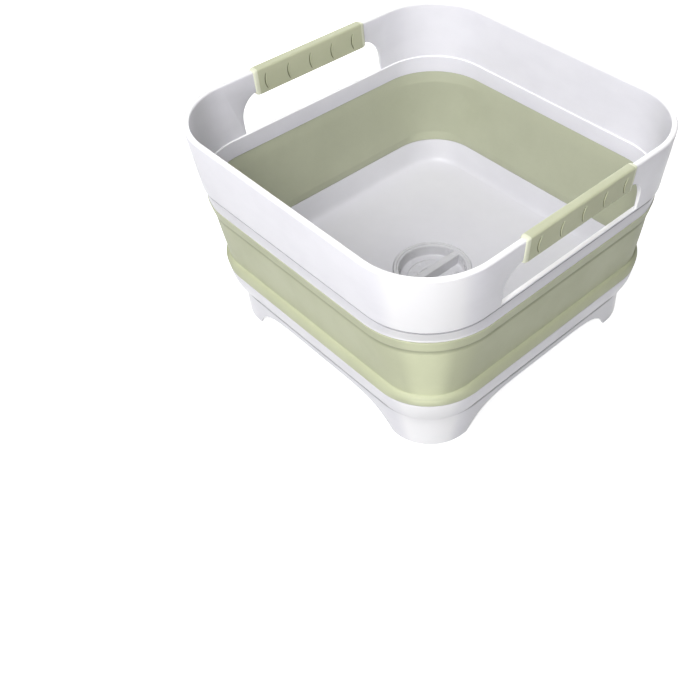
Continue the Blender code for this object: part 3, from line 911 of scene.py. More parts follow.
# A darker rubber laid in the crescent grooves as painted shade
SHADED_GROOVE_RUBBER = SoftRubber(
    tone=(0.24, 0.25, 0.15), deep=(0.21, 0.22, 0.13), bloom=(0.34, 0.35, 0.25), roughness=0.65)


# Camera, lights and ground


@dataclass(frozen=True)
class Lamp:
    """A round soft lamp that looks at the basin."""

    name: str
    place: Triple
    size: float
    power: float

    def make(self, aim: Triple) -> bpy.types.Object:
        """Makes the lamp.

        Args:
            aim: The point that it looks at.

        Returns:
            The lamp.
        """
        data = bpy.data.lights.new(self.name, "AREA")
        data.shape = "DISK"
        data.size = self.size
        data.energy = self.power
        item = bpy.data.objects.new(self.name, data)
        item.location = self.place
        item.rotation_euler = (Vector(aim) - Vector(self.place)).to_track_quat("-Z", "Y").to_euler()
        bpy.context.scene.collection.objects.link(item)
        return item


@dataclass
class Studio:
    """The viewpoint of the photograph, a white ground and soft light from the upper left.

    The camera's angles are in degrees, its focal length and centre in pixels of the picture.
    """

    camera_place: Triple = (0.4589, -0.4369, 0.6013)
    yaw: float = 44.94
    pitch: float = 45.78
    roll: float = 0.35
    focal: float = 916.0
    centre: tuple[float, float] = (449.6, 336.5)
    picture: tuple[int, int] = (679, 673)
    sensor: float = 36.0
    ground_half: float = 30.0
    ground_colour: Triple = (0.80, 0.80, 0.82)
    ground_glow: float = 0.78
    ground_plain: Span = (0.45, 1.2)
    bounce: float = 0.31
    world_colour: Triple = (0.97, 0.98, 1.0)
    world_strength: float = 0.06
    aim: Triple = (0.0, 0.0, 0.1)
    lamps: tuple[Lamp, ...] = (
        Lamp("high_lamp", (0.30, -0.90, 2.40), 1.2, 35.0),
        Lamp("middle_lamp", (0.80, -1.45, 1.60), 0.8, 19.0),
        Lamp("corner_lamp", (0.85, -1.88, 0.80), 1.4, 10.0),
        Lamp("low_lamp", (1.12, -1.72, 0.22), 0.9, 8.0),
        Lamp("back_lamp", (-1.30, 1.60, 0.80), 1.6, 30.0),
        Lamp("side_lamp", (1.60, 1.50, 1.20), 1.6, 2.0),
    )

    def make_camera(self) -> bpy.types.Object:
        """Makes the camera and gives it to the scene.

        Returns:
            The camera.
        """
        data = bpy.data.cameras.new("photo_camera")
        item = bpy.data.objects.new("photo_camera", data)
        bpy.context.scene.collection.objects.link(item)
        yaw, pitch, roll = (math.radians(a) for a in (self.yaw, self.pitch, self.roll))
        ahead = Vector((-math.sin(yaw) * math.cos(pitch), math.cos(yaw) * math.cos(pitch), -math.sin(pitch)))
        level = Vector((math.cos(yaw), math.sin(yaw), 0.0))
        right = level * math.cos(roll) + level.cross(ahead) * math.sin(roll)
        matrix = Matrix((right, right.cross(ahead), -ahead)).transposed().to_4x4()
        matrix.translation = Vector(self.camera_place)
        item.matrix_world = matrix
        width, height = self.picture
        data.sensor_width = self.sensor
        data.lens = self.focal * data.sensor_width / width
        data.shift_x = (width / 2 - self.centre[0]) / width
        data.shift_y = (self.centre[1] - height / 2) / width
        bpy.context.scene.camera = item
        return item

    def make_ground(self) -> bpy.types.Object:
        """Makes the pale floor, which the camera sees as white apart from the basin's own shadow.

        Returns:
            The floor.
        """
        shape = bmesh.new()
        reach = self.ground_half
        corners = ((-reach, -reach), (reach, -reach), (reach, reach), (-reach, reach))
        shape.faces.new([shape.verts.new((x, y, 0.0)) for x, y in corners])
        floor = to_object("ground", shape)
        made = Shader("pale_ground")
        rays = ("Is Camera Ray", "Is Glossy Ray", "Is Transmission Ray")
        camera, glossy, through = (made.node("ShaderNodeLightPath", {}, {}, ray) for ray in rays)
        seen = (camera + glossy + through).clamp()
        matt = made.node("ShaderNodeBsdfDiffuse", {}, {"Color": self.ground_colour})
        glow = made.node("ShaderNodeEmission", {}, {"Color": WHITE, "Strength": self.ground_glow})
        near = made.node("ShaderNodeAddShader", {}, {0: matt, 1: glow})
        plain = made.node("ShaderNodeEmission", {}, {"Color": WHITE, "Strength": 1.0})
        away = made.node("ShaderNodeVectorMath", {"operation": "LENGTH"}, {0: made.place()}, "Value")
        away = away.window(*self.ground_plain)
        shown = made.node("ShaderNodeMixShader", {}, {0: away, 1: near, 2: plain})
        dim = made.node("ShaderNodeBsdfDiffuse", {}, {"Color": (self.bounce,) * 3})
        made.show(made.node("ShaderNodeMixShader", {}, {0: seen, 1: dim, 2: shown}))
        floor.data.materials.append(made.material)
        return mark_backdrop(floor) or floor

    def make_world(self) -> bpy.types.World:
        """Makes the even surroundings, dim on the basin and white to the camera.

        Returns:
            The world.
        """
        world = bpy.data.worlds.new("white_room")
        bpy.context.scene.world = world
        world.use_nodes = True
        made = Nodes(world.node_tree, "ShaderNodeOutputWorld")
        seen = made.node("ShaderNodeLightPath", {}, {}, "Is Camera Ray")
        lit = {"Color": self.world_colour, "Strength": self.world_strength}
        room = made.node("ShaderNodeBackground", {}, lit)
        shown = made.node("ShaderNodeBackground", {}, {"Color": WHITE})
        made.show(made.node("ShaderNodeMixShader", {}, {0: seen, 1: room, 2: shown}))
        return world

    def build(self) -> None:
        """Sets up the view, the ground and the light."""
        bpy.context.scene.view_settings.view_transform = "Standard"
        self.make_camera()
        self.make_ground()
        for lamp in self.lamps:
            lamp.make(self.aim)
        self.make_world()


# The basin's pieces


@dataclass(frozen=True)
class Levels:
    """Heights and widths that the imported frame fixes."""

    rim_half: float
    rim_z: float
    flange_z: float
    wall_top: float
    wall_foot: float
    band_half: float
    ledge_half: float
    lip_z: float
    skirt: float = 0.0022

    @classmethod
    def read(cls) -> "Levels":
        """Reads them from the frame's boxes.

        Returns:
            The heights and widths.
        """
        rim, wall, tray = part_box("rim_frame"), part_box("bellows"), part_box("base_tray")
        return cls(
            rim_half=rim[1].y, rim_z=rim[1].z, flange_z=rim[0].z + cls.skirt, wall_top=wall[1].z,
            wall_foot=wall[0].z, band_half=wall[1].y, ledge_half=tray[1].y, lip_z=tray[1].z,
        )

    @property
    def ledge_z(self) -> float:
        """Height of the ledge that the soft wall stands on."""
        return self.wall_foot - JOINT_GAP


@dataclass
class UpperFrame:
    """The rigid upper frame: tapered wall, soft rim, inner ledge, set-in flange and two handle slots."""

    levels: Levels
    rim_corner: float = 0.0634
    rim_thickness: float = 0.0053
    rim_round: float = 0.0018
    wall_height: float = 0.0529
    draft: float = 0.0044
    corner_draft: float = 0.0031
    foot_thickness: float = 0.0026
    ledge_width: float = 0.0016
    ledge_rise: float = 0.0009
    flange_inset: float = 0.0009
    face_inset: float = 0.0011
    flange_flare: float = 0.0002
    flange_wall: float = 0.0036
    flange_seat: float = 0.0014
    flange_corner_gain: float = 0.0060
    flange_corner_ease: float = 0.0040
    neck_inset: float = 0.0030
    neck_height: float = 0.0024
    neck_rise: float = 0.0004
    bead_depth: float = 0.0005
    bead_height: float = 0.0007
    slot_half: float = 0.0785
    slot_sill_rise: float = 0.0002
    slot_from: float = 0.7
    rail_height: float = 0.0180
    slot_round: float = 0.0215
    slot_steps: int = 14
    slot_foot_round: float = 0.0012
    slot_foot_steps: int = 4
    slot_edge: float = 0.0006
    # Painted shade: how light the line in the neck groove, the flange strip and its bead stay, and where they
    # reach
    groove_light: float = 0.50
    groove_reach: float = 0.0002
    groove_gap: float = 0.0003
    strip_light: float = 0.82
    strip_rise: float = 0.0012
    bead_drop: float = 0.0010
    # How far below the rim its painted highlight starts, and how far below the wall's foot that of the level
    # edges starts
    highlight_drop: float = 0.0015
    edge_drop: float = 0.0006

    @property
    def rim(self) -> Ring:
        """The rim's outer edge."""
        return Ring(self.levels.rim_half, self.rim_corner, self.levels.rim_z)

    @property
    def foot(self) -> Ring:
        """The wall's outer foot."""
        low = self.levels.rim_z - self.wall_height
        return Ring(self.rim.half - self.draft, self.rim_corner - self.corner_draft, low)

    @property
    def flange_foot(self) -> Ring:
        """The flange's lower outer edge, rounder at its corners than the wall."""
        turn = self.flange_inset - self.flange_flare
        corner = self.foot.corner - turn + self.flange_corner_gain
        return Ring(self.foot.half - turn, corner, self.levels.flange_z)

    @property
    def flange_inner(self) -> Ring:
        """The flange's lower inner edge."""
        outer = self.flange_foot
        corner = outer.corner - self.flange_wall - self.flange_corner_ease
        return Ring(outer.half - self.flange_wall, corner, outer.z - self.levels.skirt)

    @property
    def slot_top(self) -> float:
        """Height of the slots' upper edge."""
        return self.levels.rim_z - self.rail_height

    @property
    def slot_foot(self) -> float:
        """Height of the slots' sill."""
        return self.foot.z + self.ledge_rise + self.slot_sill_rise

    def outer_half(self, z: float) -> float:
        """Half-width of the wall's outer face at a height."""
        return self.foot.half + self.draft * (z - self.foot.z) / self.wall_height

    def inner_half(self, z: float) -> float:
        """Half-width of the wall's inner face at a height."""
        share = (z - self.foot.z) / self.wall_height
        return self.outer_half(z) - self.foot_thickness - (self.rim_thickness - self.foot_thickness) * share

    def section(self) -> list[Ring]:
        """Draws the frame's closed section, down the outside and up the inside.

        Returns:
            Its outlines.
        """
        rim, foot, lip = self.rim, self.foot, self.flange_foot
        ledge_z = foot.z + self.ledge_rise
        above = rim.towards(foot, 1 - self.ledge_rise / self.wall_height)
        above = above.inset(self.outer_half(ledge_z) - self.inner_half(ledge_z))
        face_top = foot.inset(self.face_inset, -self.neck_height)
        return soften([
            (rim, self.rim_round), (foot, FINE), (foot.inset(self.neck_inset), CRISP),
            (face_top.inset(self.neck_inset - self.face_inset, self.neck_rise), CRISP), (face_top, FINE),
            (lip.inset(self.bead_depth, 2 * self.bead_height), CRISP),
            (lip.inset(0.0, self.bead_height), EASED), (lip, CRISP), (lip.inset(self.flange_seat), SHARP),
            (self.flange_inner, FINE), (above.inset(self.ledge_width), EASED), (above, FINE),
            (rim.inset(self.rim_thickness), self.rim_round),
        ])

    def slot_outline(self) -> list[Point]:
        """Draws the slot: nearly square at the sill, widely rounded at the top.

        Returns:
            Its points as (across, up).
        """
        low, high = self.slot_foot_round, self.slot_round
        foot, top = self.slot_foot + low, self.slot_top - high
        corners = (
            (1, foot, low, self.slot_foot_steps, -90.0), (1, top, high, self.slot_steps, 0.0),
            (-1, top, high, self.slot_steps, 90.0), (-1, foot, low, self.slot_foot_steps, 180.0),
        )
        found = []
        for side, up, radius, steps, start in corners:
            found += arc((side * (self.slot_half - radius), up), radius, start, start + 90.0, steps)
        return found

    def shade_strips(self) -> tuple[Seam, ...]:
        """Finds the painted shade: in the neck under the wall, on the flange below it and on its bead.

        Returns:
            The strips of painted shade.
        """
        step, flange = self.foot.z, self.levels.flange_z
        groove = Seam(step - self.neck_height - self.groove_reach, step - self.groove_gap, self.groove_light)
        strip = Seam(flange + self.strip_rise, groove.low, self.strip_light)
        return groove, strip, Seam(flange - self.bead_drop, strip.low, self.strip_light)

    def build(self, finish: WhitePlastic) -> bpy.types.Object:
        """Builds the frame.

        Args:
            finish: Its plastic.

        Returns:
            The frame.
        """
        item = loft("upper_frame", self.section())
        start, end = self.rim.half * self.slot_from, self.rim.half + CUT_OVERRUN
        carve(item, prism("slot_cutter", self.slot_outline(), Axis.X, start, end))
        ease_edges(item, self.slot_edge)
        return dress(item, finish.make("frame_plastic"), "frame", "rim_frame")


@dataclass
class TrayBase:
    """The white base: four corner legs, arched skirts, ledge wall, lip, rounded floor and drain well."""

    levels: Levels
    ledge_corner: float = 0.0533
    ledge_height: float = 0.0224
    ledge_flare: float = 0.0061
    ledge_corner_flare: float = 0.0068
    ledge_bulge: float = 0.0014
    bulge_steps: int = 8
    leg_draft: float = 0.0050
    leg_corner_draft: float = 0.0068
    leg_top_corner: float = 0.0535
    leg_width: float = 0.0429
    foot_round: float = 0.0020
    skirt_wall: float = 0.0028
    skirt_inset: float = 0.0012
    groove_depth: float = 0.0010
    groove_height: float = 0.0028
    groove_slope: float = 0.0004
    # Painted shadow under the ledge wall: how light it stays and how softly it ends
    groove_light: float = 0.60
    groove_soft: float = 0.0008
    headroom: float = 0.0111
    arch_power: float = 6.0
    arch_steps: int = 48
    arch_edge: float = 0.0007
    lip_setback: float = 0.0074
    lip_corner: float = 0.0474
    lip_wall: float = 0.0018
    wall: float = 0.0026
    wall_run: float = 0.0046
    wall_corner_run: float = 0.0034
    wall_foot_rise: float = 0.0085
    floor_drop: float = 0.0187
    floor_fall: float = 0.0010
    floor_round: float = 0.003
    round_run: float = 0.0118
    round_corner_run: float = 0.0090
    turn_round: float = 0.0075
    under_round: float = 0.004
    well_radius: float = 0.0350
    well_wall: float = 0.0020
    well_depth: float = 0.0168
    well_root_round: float = 0.0012
    well_foot_round: float = 0.0016
    mouth_ease: float = 0.0006
    seat_width: float = 0.0009
    seat_drop: float = 0.0023
    grate_thickness: float = 0.0022
    hole_radius: float = 0.0024
    hole_sides: int = 20
    hole_overrun: float = 0.004
    hole_shares: tuple[float, ...] = (0.27, 0.53, 0.79)
    hole_counts: tuple[int, ...] = (6, 12, 16)

    @property
    def ledge(self) -> Ring:
        """The ledge's outer edge."""
        return Ring(self.levels.ledge_half, self.ledge_corner, self.levels.ledge_z)

    @property
    def ledge_base(self) -> Ring:
        """The foot of the ledge's wall."""
        corner = self.ledge_corner - self.ledge_corner_flare
        return Ring(self.ledge.half - self.ledge_flare, corner, self.ledge.z - self.ledge_height)

    @property
    def foot(self) -> Ring:
        """The legs' outer foot."""
        base = self.ledge_base
        return Ring(base.half - self.leg_draft, base.corner - self.leg_corner_draft, 0.0)

    @property
    def arch_half(self) -> float:
        """Half the gap between two legs at the ground."""
        return self.foot.half - self.leg_width

    @property
    def lip(self) -> Ring:
        """The upper inner edge of the lip that the soft wall grips."""
        return Ring(self.ledge.half - self.lip_setback, self.lip_corner, self.levels.lip_z)

    @property
    def floor_z(self) -> float:
        """Height of the floor at the drain."""
        return self.ledge.z - self.floor_drop

    @property
    def wall_foot(self) -> Ring:
        """The inner wall's foot, where its rounding begins."""
        low = self.floor_z + self.floor_fall + self.wall_foot_rise
        return Ring(self.lip.half - self.wall_run, self.lip.corner - self.wall_corner_run, low)

    @property
    def turn(self) -> Ring:
        """Where the inner wall and the floor would meet if there were no rounding."""
        inwards = self.wall_foot_rise / 2
        return self.wall_foot.inset(inwards, -self.wall_foot_rise)

    @property
    def floor(self) -> Ring:
        """The floor's outer edge."""
        foot = self.wall_foot
        low = self.floor_z + self.floor_fall
        return Ring(foot.half - self.round_run, foot.corner - self.round_corner_run, low)

    @property
    def recess_radius(self) -> float:
        """Radius of the recess that the plug's flange lies in."""
        return self.well_radius + self.seat_width + JOINT_GAP

    @property
    def well_floor(self) -> float:
        """Height of the grate's top."""
        return self.floor_z - self.well_depth

    def underside(self) -> list[Stop]:
        """Draws the underside from the well out to the skirt.

        Returns:
            Its outlines, each with its rounding.
        """
        outer = self.recess_radius + self.well_wall
        grate_z = self.well_floor - self.grate_thickness
        wall_foot, lip, drop = self.wall_foot, self.lip, -self.wall
        under = self.ledge_base.towards(self.ledge, 1 - self.wall / self.ledge_height).inset(self.wall)
        share = (under.z - wall_foot.z) / (lip.z - wall_foot.z)
        return [
            (circle(self.recess_radius, grate_z), SHARP), (circle(outer, grate_z), self.well_foot_round),
            (circle(outer, self.floor_z + drop), self.well_root_round),
            (self.floor.inset(0.0, drop), self.floor_round), (self.turn.inset(drop, drop), self.under_round),
            (wall_foot.inset(drop), SHARP), (wall_foot.towards(lip, share).inset(drop), FULL), (under, FULL),
        ]

    def outside(self) -> list[Stop]:
        """Draws the skirt and legs, the groove above them and the bulged wall up to the ledge.

        Returns:
            Its outlines, each with its rounding.
        """
        ledge, base, foot = self.ledge, self.ledge_base, self.foot
        top_z = base.z - self.groove_height - self.groove_slope
        leg_top = Ring(base.half - self.skirt_inset, self.leg_top_corner, top_z)
        groove = Ring(leg_top.half - self.groove_depth, leg_top.corner, base.z)
        inner_top = Ring(leg_top.half - self.skirt_wall, leg_top.corner, base.z)
        stops: list[Stop] = [
            (inner_top, PLUMP), (foot.inset(self.skirt_wall), SOFT), (foot, self.foot_round), (leg_top, SOFT),
            (groove.inset(0.0, -self.groove_height), CRISP), (groove, CRISP), (base, EASED),
        ]
        for step in range(1, self.bulge_steps):
            share = step / self.bulge_steps
            bulge = -self.ledge_bulge * math.sin(share * math.pi)
            stops.append((base.towards(ledge, share).inset(bulge), SHARP))
        return stops + [(ledge, FULL)]

    def inside(self) -> list[Stop]:
        """Draws the lip, the inner wall, the floor, the plug's recess and the well.

        Returns:
            Its outlines, each with its rounding.
        """
        lip, recess = self.lip, self.recess_radius
        grip_half = lip.half + self.lip_wall
        grip_corner = self.ledge_corner - (self.ledge.half - grip_half)
        seat_z = self.floor_z - self.seat_drop
        return [
            (Ring(grip_half, grip_corner, self.ledge.z), SHARP),
            (Ring(grip_half, lip.corner + self.lip_wall, lip.z), CRISP), (lip, EASED),
            (self.wall_foot, SHARP), (self.turn, self.turn_round), (self.floor, self.floor_round),
            (circle(recess + self.mouth_ease, self.floor_z), CRISP),
            (circle(recess, self.floor_z - self.mouth_ease), CRISP), (circle(recess, seat_z), TIGHT),
            (circle(self.well_radius, seat_z), CRISP), (circle(self.well_radius, self.well_floor), SHARP),
        ]

    def arch_outline(self) -> list[Point]:
        """Draws the gap between two legs.

        Returns:
            Its points as (across, up).
        """
        span = self.arch_half
        rise = self.ledge_base.z - self.headroom
        found = [(-span, -CUT_OVERRUN)]
        for step in range(self.arch_steps + 1):
            share = -math.cos(step / self.arch_steps * math.pi)
            found.append((span * share, rise * (1 - abs(share) ** self.arch_power)))
        return found + [(span, -CUT_OVERRUN)]

    def grate_cutter(self) -> bpy.types.Object:
        """Makes round pegs for the holes of the grate.

        Returns:
            The pegs.
        """
        shape = bmesh.new()
        middle = self.well_floor - self.grate_thickness / 2
        places = [(0.0, 0.0)]
        for share, count in zip(self.hole_shares, self.hole_counts):
            places += arc((0.0, 0.0), self.well_radius * share, 0.0, 360.0, count)[:-1]
        radius, depth = self.hole_radius, self.grate_thickness + self.hole_overrun
        for x, y in places:
            bmesh.ops.create_cone(
                shape, cap_ends=True, segments=self.hole_sides, radius1=radius, radius2=radius, depth=depth,
                matrix=Matrix.Translation((x, y, middle)),
            )
        return to_object("grate_cutter", shape)

    def shade_strips(self) -> tuple[Seam, ...]:
        """The painted shadow under the ledge's wall."""
        return (Seam.under_step(self.ledge_base.z, self.groove_light, self.groove_soft),)

    def build(self, finish: WhitePlastic) -> bpy.types.Object:
        """Builds the base.

        Args:
            finish: Its plastic.

        Returns:
            The base.
        """
        section = self.underside() + self.outside() + self.inside()
        item = loft("tray_base", soften(section, closed=False, steps=TRAY_ROUNDING_STEPS), closed=False)
        start, end = self.arch_half, self.ledge.half + CUT_OVERRUN
        for axis in Axis:
            carve(item, prism("arch_cutter", self.arch_outline(), axis, start, end))
        ease_edges(item, self.arch_edge)
        carve(item, self.grate_cutter())
        smooth(item.data, CUT_SHARP_ANGLE)
        return dress(item, finish.make("tray_plastic"), "base", "base_tray")


@dataclass
class SoftWall:
    """The green wall that folds inside out: proud upper band, long panel, crease and convex lower band.

    The lower band's shares say how far out it stands at a share of the way up to the crease.
    """

    levels: Levels
    upper: UpperFrame
    tray: TrayBase
    wall: float = 0.0028
    band_proud: float = 0.0003
    band_height: float = 0.0103
    band_taper: float = 0.0020
    band_step: float = 0.0010
    # Painted shadow under the upper band: how light it stays and how softly it ends
    band_light: float = 0.68
    band_soft: float = 0.0020
    step_in: float = 0.0012
    corner_step_in: float = 0.0016
    hollow_depth: float = 0.0006
    hollow_rise: float = 0.0006
    hollow_share: float = 0.92
    hollow_run: float = 0.03
    hollow_round: float = 0.0010
    panel_shares: tuple[float, ...] = (0.75, 0.5, 0.25)
    bow: float = 0.0004
    fold_round: float = 0.0012
    lip_height: float = 0.0026
    crease_rise: float = 0.0077
    crease_tightening: float = 0.0044
    crease_round: float = 0.0011
    lower_shares: tuple[Point, ...] = (
        (0.95, 0.28), (0.90, 0.44), (0.83, 0.58), (0.73, 0.71),
        (0.60, 0.82), (0.44, 0.91), (0.28, 0.97), (0.14, 1.0),
    )
    # Painted shade over the whole lower band
    lower_light: float = 0.97
    foot_round: float = 0.0009
    bend_foot: float = 0.0725
    longest: float = 0.0022

    @property
    def crease_z(self) -> float:
        """Height of the crease."""
        return self.levels.wall_foot + self.lip_height + self.crease_rise

    def panel(self, share: float, inward: float = 0.0) -> Ring:
        """Finds the panel's outline a share of the way from the crease to the upper band.

        Args:
            share: How far up.
            inward: How far inside the outer face.

        Returns:
            The outline.
        """
        tray = self.tray
        foot = Ring(tray.lip.half + self.wall, tray.lip_corner - self.crease_tightening, self.crease_z)
        top_half = self.levels.band_half - self.band_taper - self.step_in
        corner = self.upper.flange_foot.corner - self.band_taper - self.corner_step_in
        top = Ring(top_half, corner, self.levels.wall_top - self.band_height - self.band_step)
        return foot.towards(top, share).inset(inward - self.bow * math.sin(share * math.pi))

    def outside(self) -> list[Stop]:
        """Draws the outside from the top of the band down to the ledge.

        Returns:
            Its outlines, each with its rounding.
        """
        levels = self.levels
        band = Ring(levels.band_half, self.upper.flange_foot.corner, levels.wall_top)
        hollow_top = self.panel(1.0, self.hollow_depth).inset(0.0, self.hollow_rise)
        hollow_foot = self.panel(self.hollow_share + self.hollow_run, self.hollow_depth)
        crease = self.panel(0.0)
        lower = Ring(levels.ledge_half, self.tray.ledge_corner, levels.wall_foot)
        stops: list[Stop] = [
            (band, SOFT), (band.inset(self.band_taper, -self.band_height), EASED), (hollow_top, FINE),
            (hollow_foot, PLUMP), (self.panel(self.hollow_share), self.hollow_round),
            *((self.panel(share), SHARP) for share in self.panel_shares), (crease, self.crease_round),
        ]
        for up_share, flare_share in self.lower_shares:
            level = lower.towards(crease, up_share)
            stops.append((Ring(crease.towards(lower, flare_share).half, level.corner, level.z), SHARP))
        return stops + [(lower, self.foot_round)]

    def inside(self) -> list[Stop]:
        """Draws the foot round the tray's lip, the inside and the top that the flange stands on.

        Returns:
            Its outlines, each with its rounding.
        """
        levels, tray, inner = self.levels, self.tray, self.upper.flange_inner
        outside = tray.lip.half + tray.lip_wall + JOINT_GAP
        over = levels.lip_z + JOINT_GAP
        band = Ring(levels.band_half, self.upper.flange_foot.corner, levels.wall_top)
        return [
            (Ring(outside, tray.ledge_corner - (levels.ledge_half - outside), levels.wall_foot), SHARP),
            (Ring(outside, tray.lip_corner + tray.lip_wall + JOINT_GAP, over), SHARP),
            (Ring(tray.lip.half, tray.lip_corner, over), FINE), (self.panel(0.0, self.wall), self.fold_round),
            *((self.panel(share, self.wall), SHARP) for share in reversed(self.panel_shares)),
            (self.panel(1.0, self.wall), self.fold_round),
            (Ring(inner.half, inner.corner, levels.wall_top - levels.skirt), CRISP),
            (band.inset(self.band_proud + self.upper.flange_seat - JOINT_GAP), SHARP),
        ]

    def shade_strips(self) -> tuple[Seam, ...]:
        """The painted shadow under the upper band, and painted shade over the lower band as a whole."""
        under_band = Seam.under_step(self.levels.wall_top - self.band_height, self.band_light, self.band_soft)
        return under_band, Seam(0.0, self.crease_z, self.lower_light)

    def build(self, finish: SoftRubber) -> bpy.types.Object:
        """Builds the wall, which rides on neither the base nor the frame.

        Args:
            finish: Its rubber.

        Returns:
            The wall.
        """
        item = loft("soft_wall", refine(soften(self.outside() + self.inside()), self.longest))
        dress(item, finish.make("wall_rubber"), None, "bellows")
        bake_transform(item)
        return item


@dataclass(frozen=True)
class GripFace:
    """One upright face of a grip's section: its foot and top as (x, z), the way it looks, its ribs' shift."""

    foot: Point
    top: Point
    outward: int
    shift: float

    def x_at(self, z: float) -> float:
        """Where the face lies at a height."""
        lean = (self.top[0] - self.foot[0]) / (self.top[1] - self.foot[1])
        return self.foot[0] + lean * (z - self.foot[1])


@dataclass
class Grip:
    """A soft sleeve moulded round the rim above one slot, with five crescent ribs on each face."""

    side: Side
    upper: UpperFrame
    half_length: float = 0.0615
    skin: float = 0.0011
    under: float = 0.0038
    edge: float = 0.0013
    end_run: float = 0.0038
    end_steps: int = 5
    pale_length: float = 0.0042
    corner_rounds: tuple[float, ...] = (0.0010, 0.0020, 0.0020, 0.0010)
    corner_share: float = 0.45
    corner_steps: int = 6
    rib_count: int = 5
    rib_pitch: float = 0.0242
    rib_height: float = 0.0150
    rib_width: float = 0.0010
    rib_bend: float = 0.0135
    rib_proud: float = 0.0005
    rib_sink: float = 0.0003
    rib_shift: tuple[float, float] = (0.0, -0.0026)
    rib_drop: float = 0.0014
    rib_steps: int = 16
    rib_sides: int = 12
    rib_tip: float = 0.08
    groove_width: float = 0.0012
    groove_depth: float = 0.0010
    groove_skin: float = 0.0001
    face_margin: float = 0.002

    def section(self) -> list[Point]:
        """Draws the sleeve's outer section.

        Returns:
            Its (x, z) points: outer foot, outer top, inner top, inner foot.
        """
        upper, cover = self.upper, JOINT_GAP + self.skin
        rim_z, foot = upper.levels.rim_z, upper.slot_top - self.under
        return [
            (upper.outer_half(foot) + cover, foot), (upper.outer_half(rim_z) + cover, rim_z + cover),
            (upper.inner_half(rim_z) - cover, rim_z + cover), (upper.inner_half(foot) - cover, foot),
        ]

    def faces(self) -> tuple[GripFace, GripFace]:
        """Finds the two upright faces.

        Returns:
            The outer and the inner face.
        """
        outer_foot, outer_top, inner_top, inner_foot = self.section()
        outer = GripFace(outer_foot, outer_top, 1, self.rib_shift[0])
        return outer, GripFace(inner_foot, inner_top, -1, self.rib_shift[1])

    def ease(self, corner: Point, end: Point, radius: float) -> Point:
        """Finds where the rounding of a corner begins.

        Args:
            corner: The corner.
            end: The next corner on that side.
            radius: The length of the rounding.

        Returns:
            The point on the way to that corner.
        """
        share = min(self.corner_share, radius / math.dist(corner, end))
        return corner[0] + (end[0] - corner[0]) * share, corner[1] + (end[1] - corner[1]) * share

    def loop(self, shrink: float, y: float) -> list[Vector]:
        """Draws the rounded section at one place along the sleeve.

        Args:
            shrink: How far inside the full section.
            y: The place along the sleeve.

        Returns:
            The loop's points.
        """
        signs = [(1, -1), (1, 1), (-1, 1), (-1, -1)]
        moved = [(x - sx * shrink, z - sz * shrink) for (x, z), (sx, sz) in zip(self.section(), signs)]
        found = []
        for index, (corner, radius) in enumerate(zip(moved, self.corner_rounds)):
            near = self.ease(corner, moved[index - 1], radius)
            far = self.ease(corner, moved[(index + 1) % 4], radius)
            for step in range(self.corner_steps + 1):
                share = step / self.corner_steps
                weights = ((1 - share) ** 2, 2 * share * (1 - share), share ** 2)
                x, z = (sum(w * p[axis] for w, p in zip(weights, (near, corner, far))) for axis in (0, 1))
                found.append(Vector((self.side.value * x, y, z)))
        return found

    def swell(self, low: float, width: float, out: float, sink: float) -> list[list[Point]]:
        """Draws half-round sections that thin out towards both ends of a crescent.

        Args:
            low: Where the section starts across the crescent.
            width: Its width.
            out: How far it stands out of the face.
            sink: How far it reaches into the face.

        Returns:
            The section at each step, as (across, out) points.
        """
        turns = [part / self.rib_sides * 2 * math.pi for part in range(self.rib_sides)]
        middle, half = low + width / 2, width / 2
        found = []
        for step in range(self.rib_steps + 1):
            along = 2 * step / self.rib_steps - 1
            taper = math.sqrt(max(0.0, 1 - along ** 2)) * (1 - self.rib_tip) + self.rib_tip
            reach = [(out if math.sin(a) > 0 else sink) * taper * math.sin(a) for a in turns]
            found.append([(middle + half * taper * math.cos(a), r) for a, r in zip(turns, reach)])
        return found

    def crescents(self, sections: Sequence[Sequence[Point]]) -> list[list[list[Vector]]]:
        """Sweeps a section along the five crescents of each face.

        Args:
            sections: The section's points as (across, out) at each step along a crescent.

        Returns:
            For each crescent its loops of points.
        """
        spread = math.asin(self.rib_height / 2 / self.rib_bend)
        angles = [spread * (2 * step / (len(sections) - 1) - 1) for step in range(len(sections))]
        faces = self.faces()
        middle = (faces[0].foot[1] + faces[0].top[1]) / 2 - self.rib_drop
        found = []
        for face in faces:
            for index in range(self.rib_count):
                centre = (index - (self.rib_count - 1) / 2) * self.rib_pitch + face.shift + self.rib_bend
                loops = []
                for angle, section in zip(angles, sections):
                    loop = []
                    for across, out in section:
                        radius = self.rib_bend - across
                        z = middle + radius * math.sin(angle)
                        x = self.side.value * (face.x_at(z) + face.outward * out)
                        loop.append(Vector((x, centre - radius * math.cos(angle), z)))
                    loops.append(loop)
                found.append(loops)
        return found

    def mark_faces(self, item: bpy.types.Object) -> None:
        """Cuts the crescents' root grooves into both faces and sets a fine rib along each.

        Args:
            item: The sleeve.
        """
        cutter = bmesh.new()
        depth = self.groove_depth
        for loops in self.crescents(self.swell(-self.groove_width, self.groove_width, depth, depth)):
            skin(cutter, loops, closed=False)
        carve(item, to_object("groove_cutter", cutter))
        shape = bmesh.new()
        shape.from_mesh(item.data)
        for loops in self.crescents(self.swell(0.0, self.rib_width, self.rib_proud, self.rib_sink)):
            skin(shape, loops, closed=False)
        bmesh.ops.recalc_face_normals(shape, faces=shape.faces)
        shape.to_mesh(item.data)
        shape.free()
        smooth(item.data, CUT_SHARP_ANGLE)

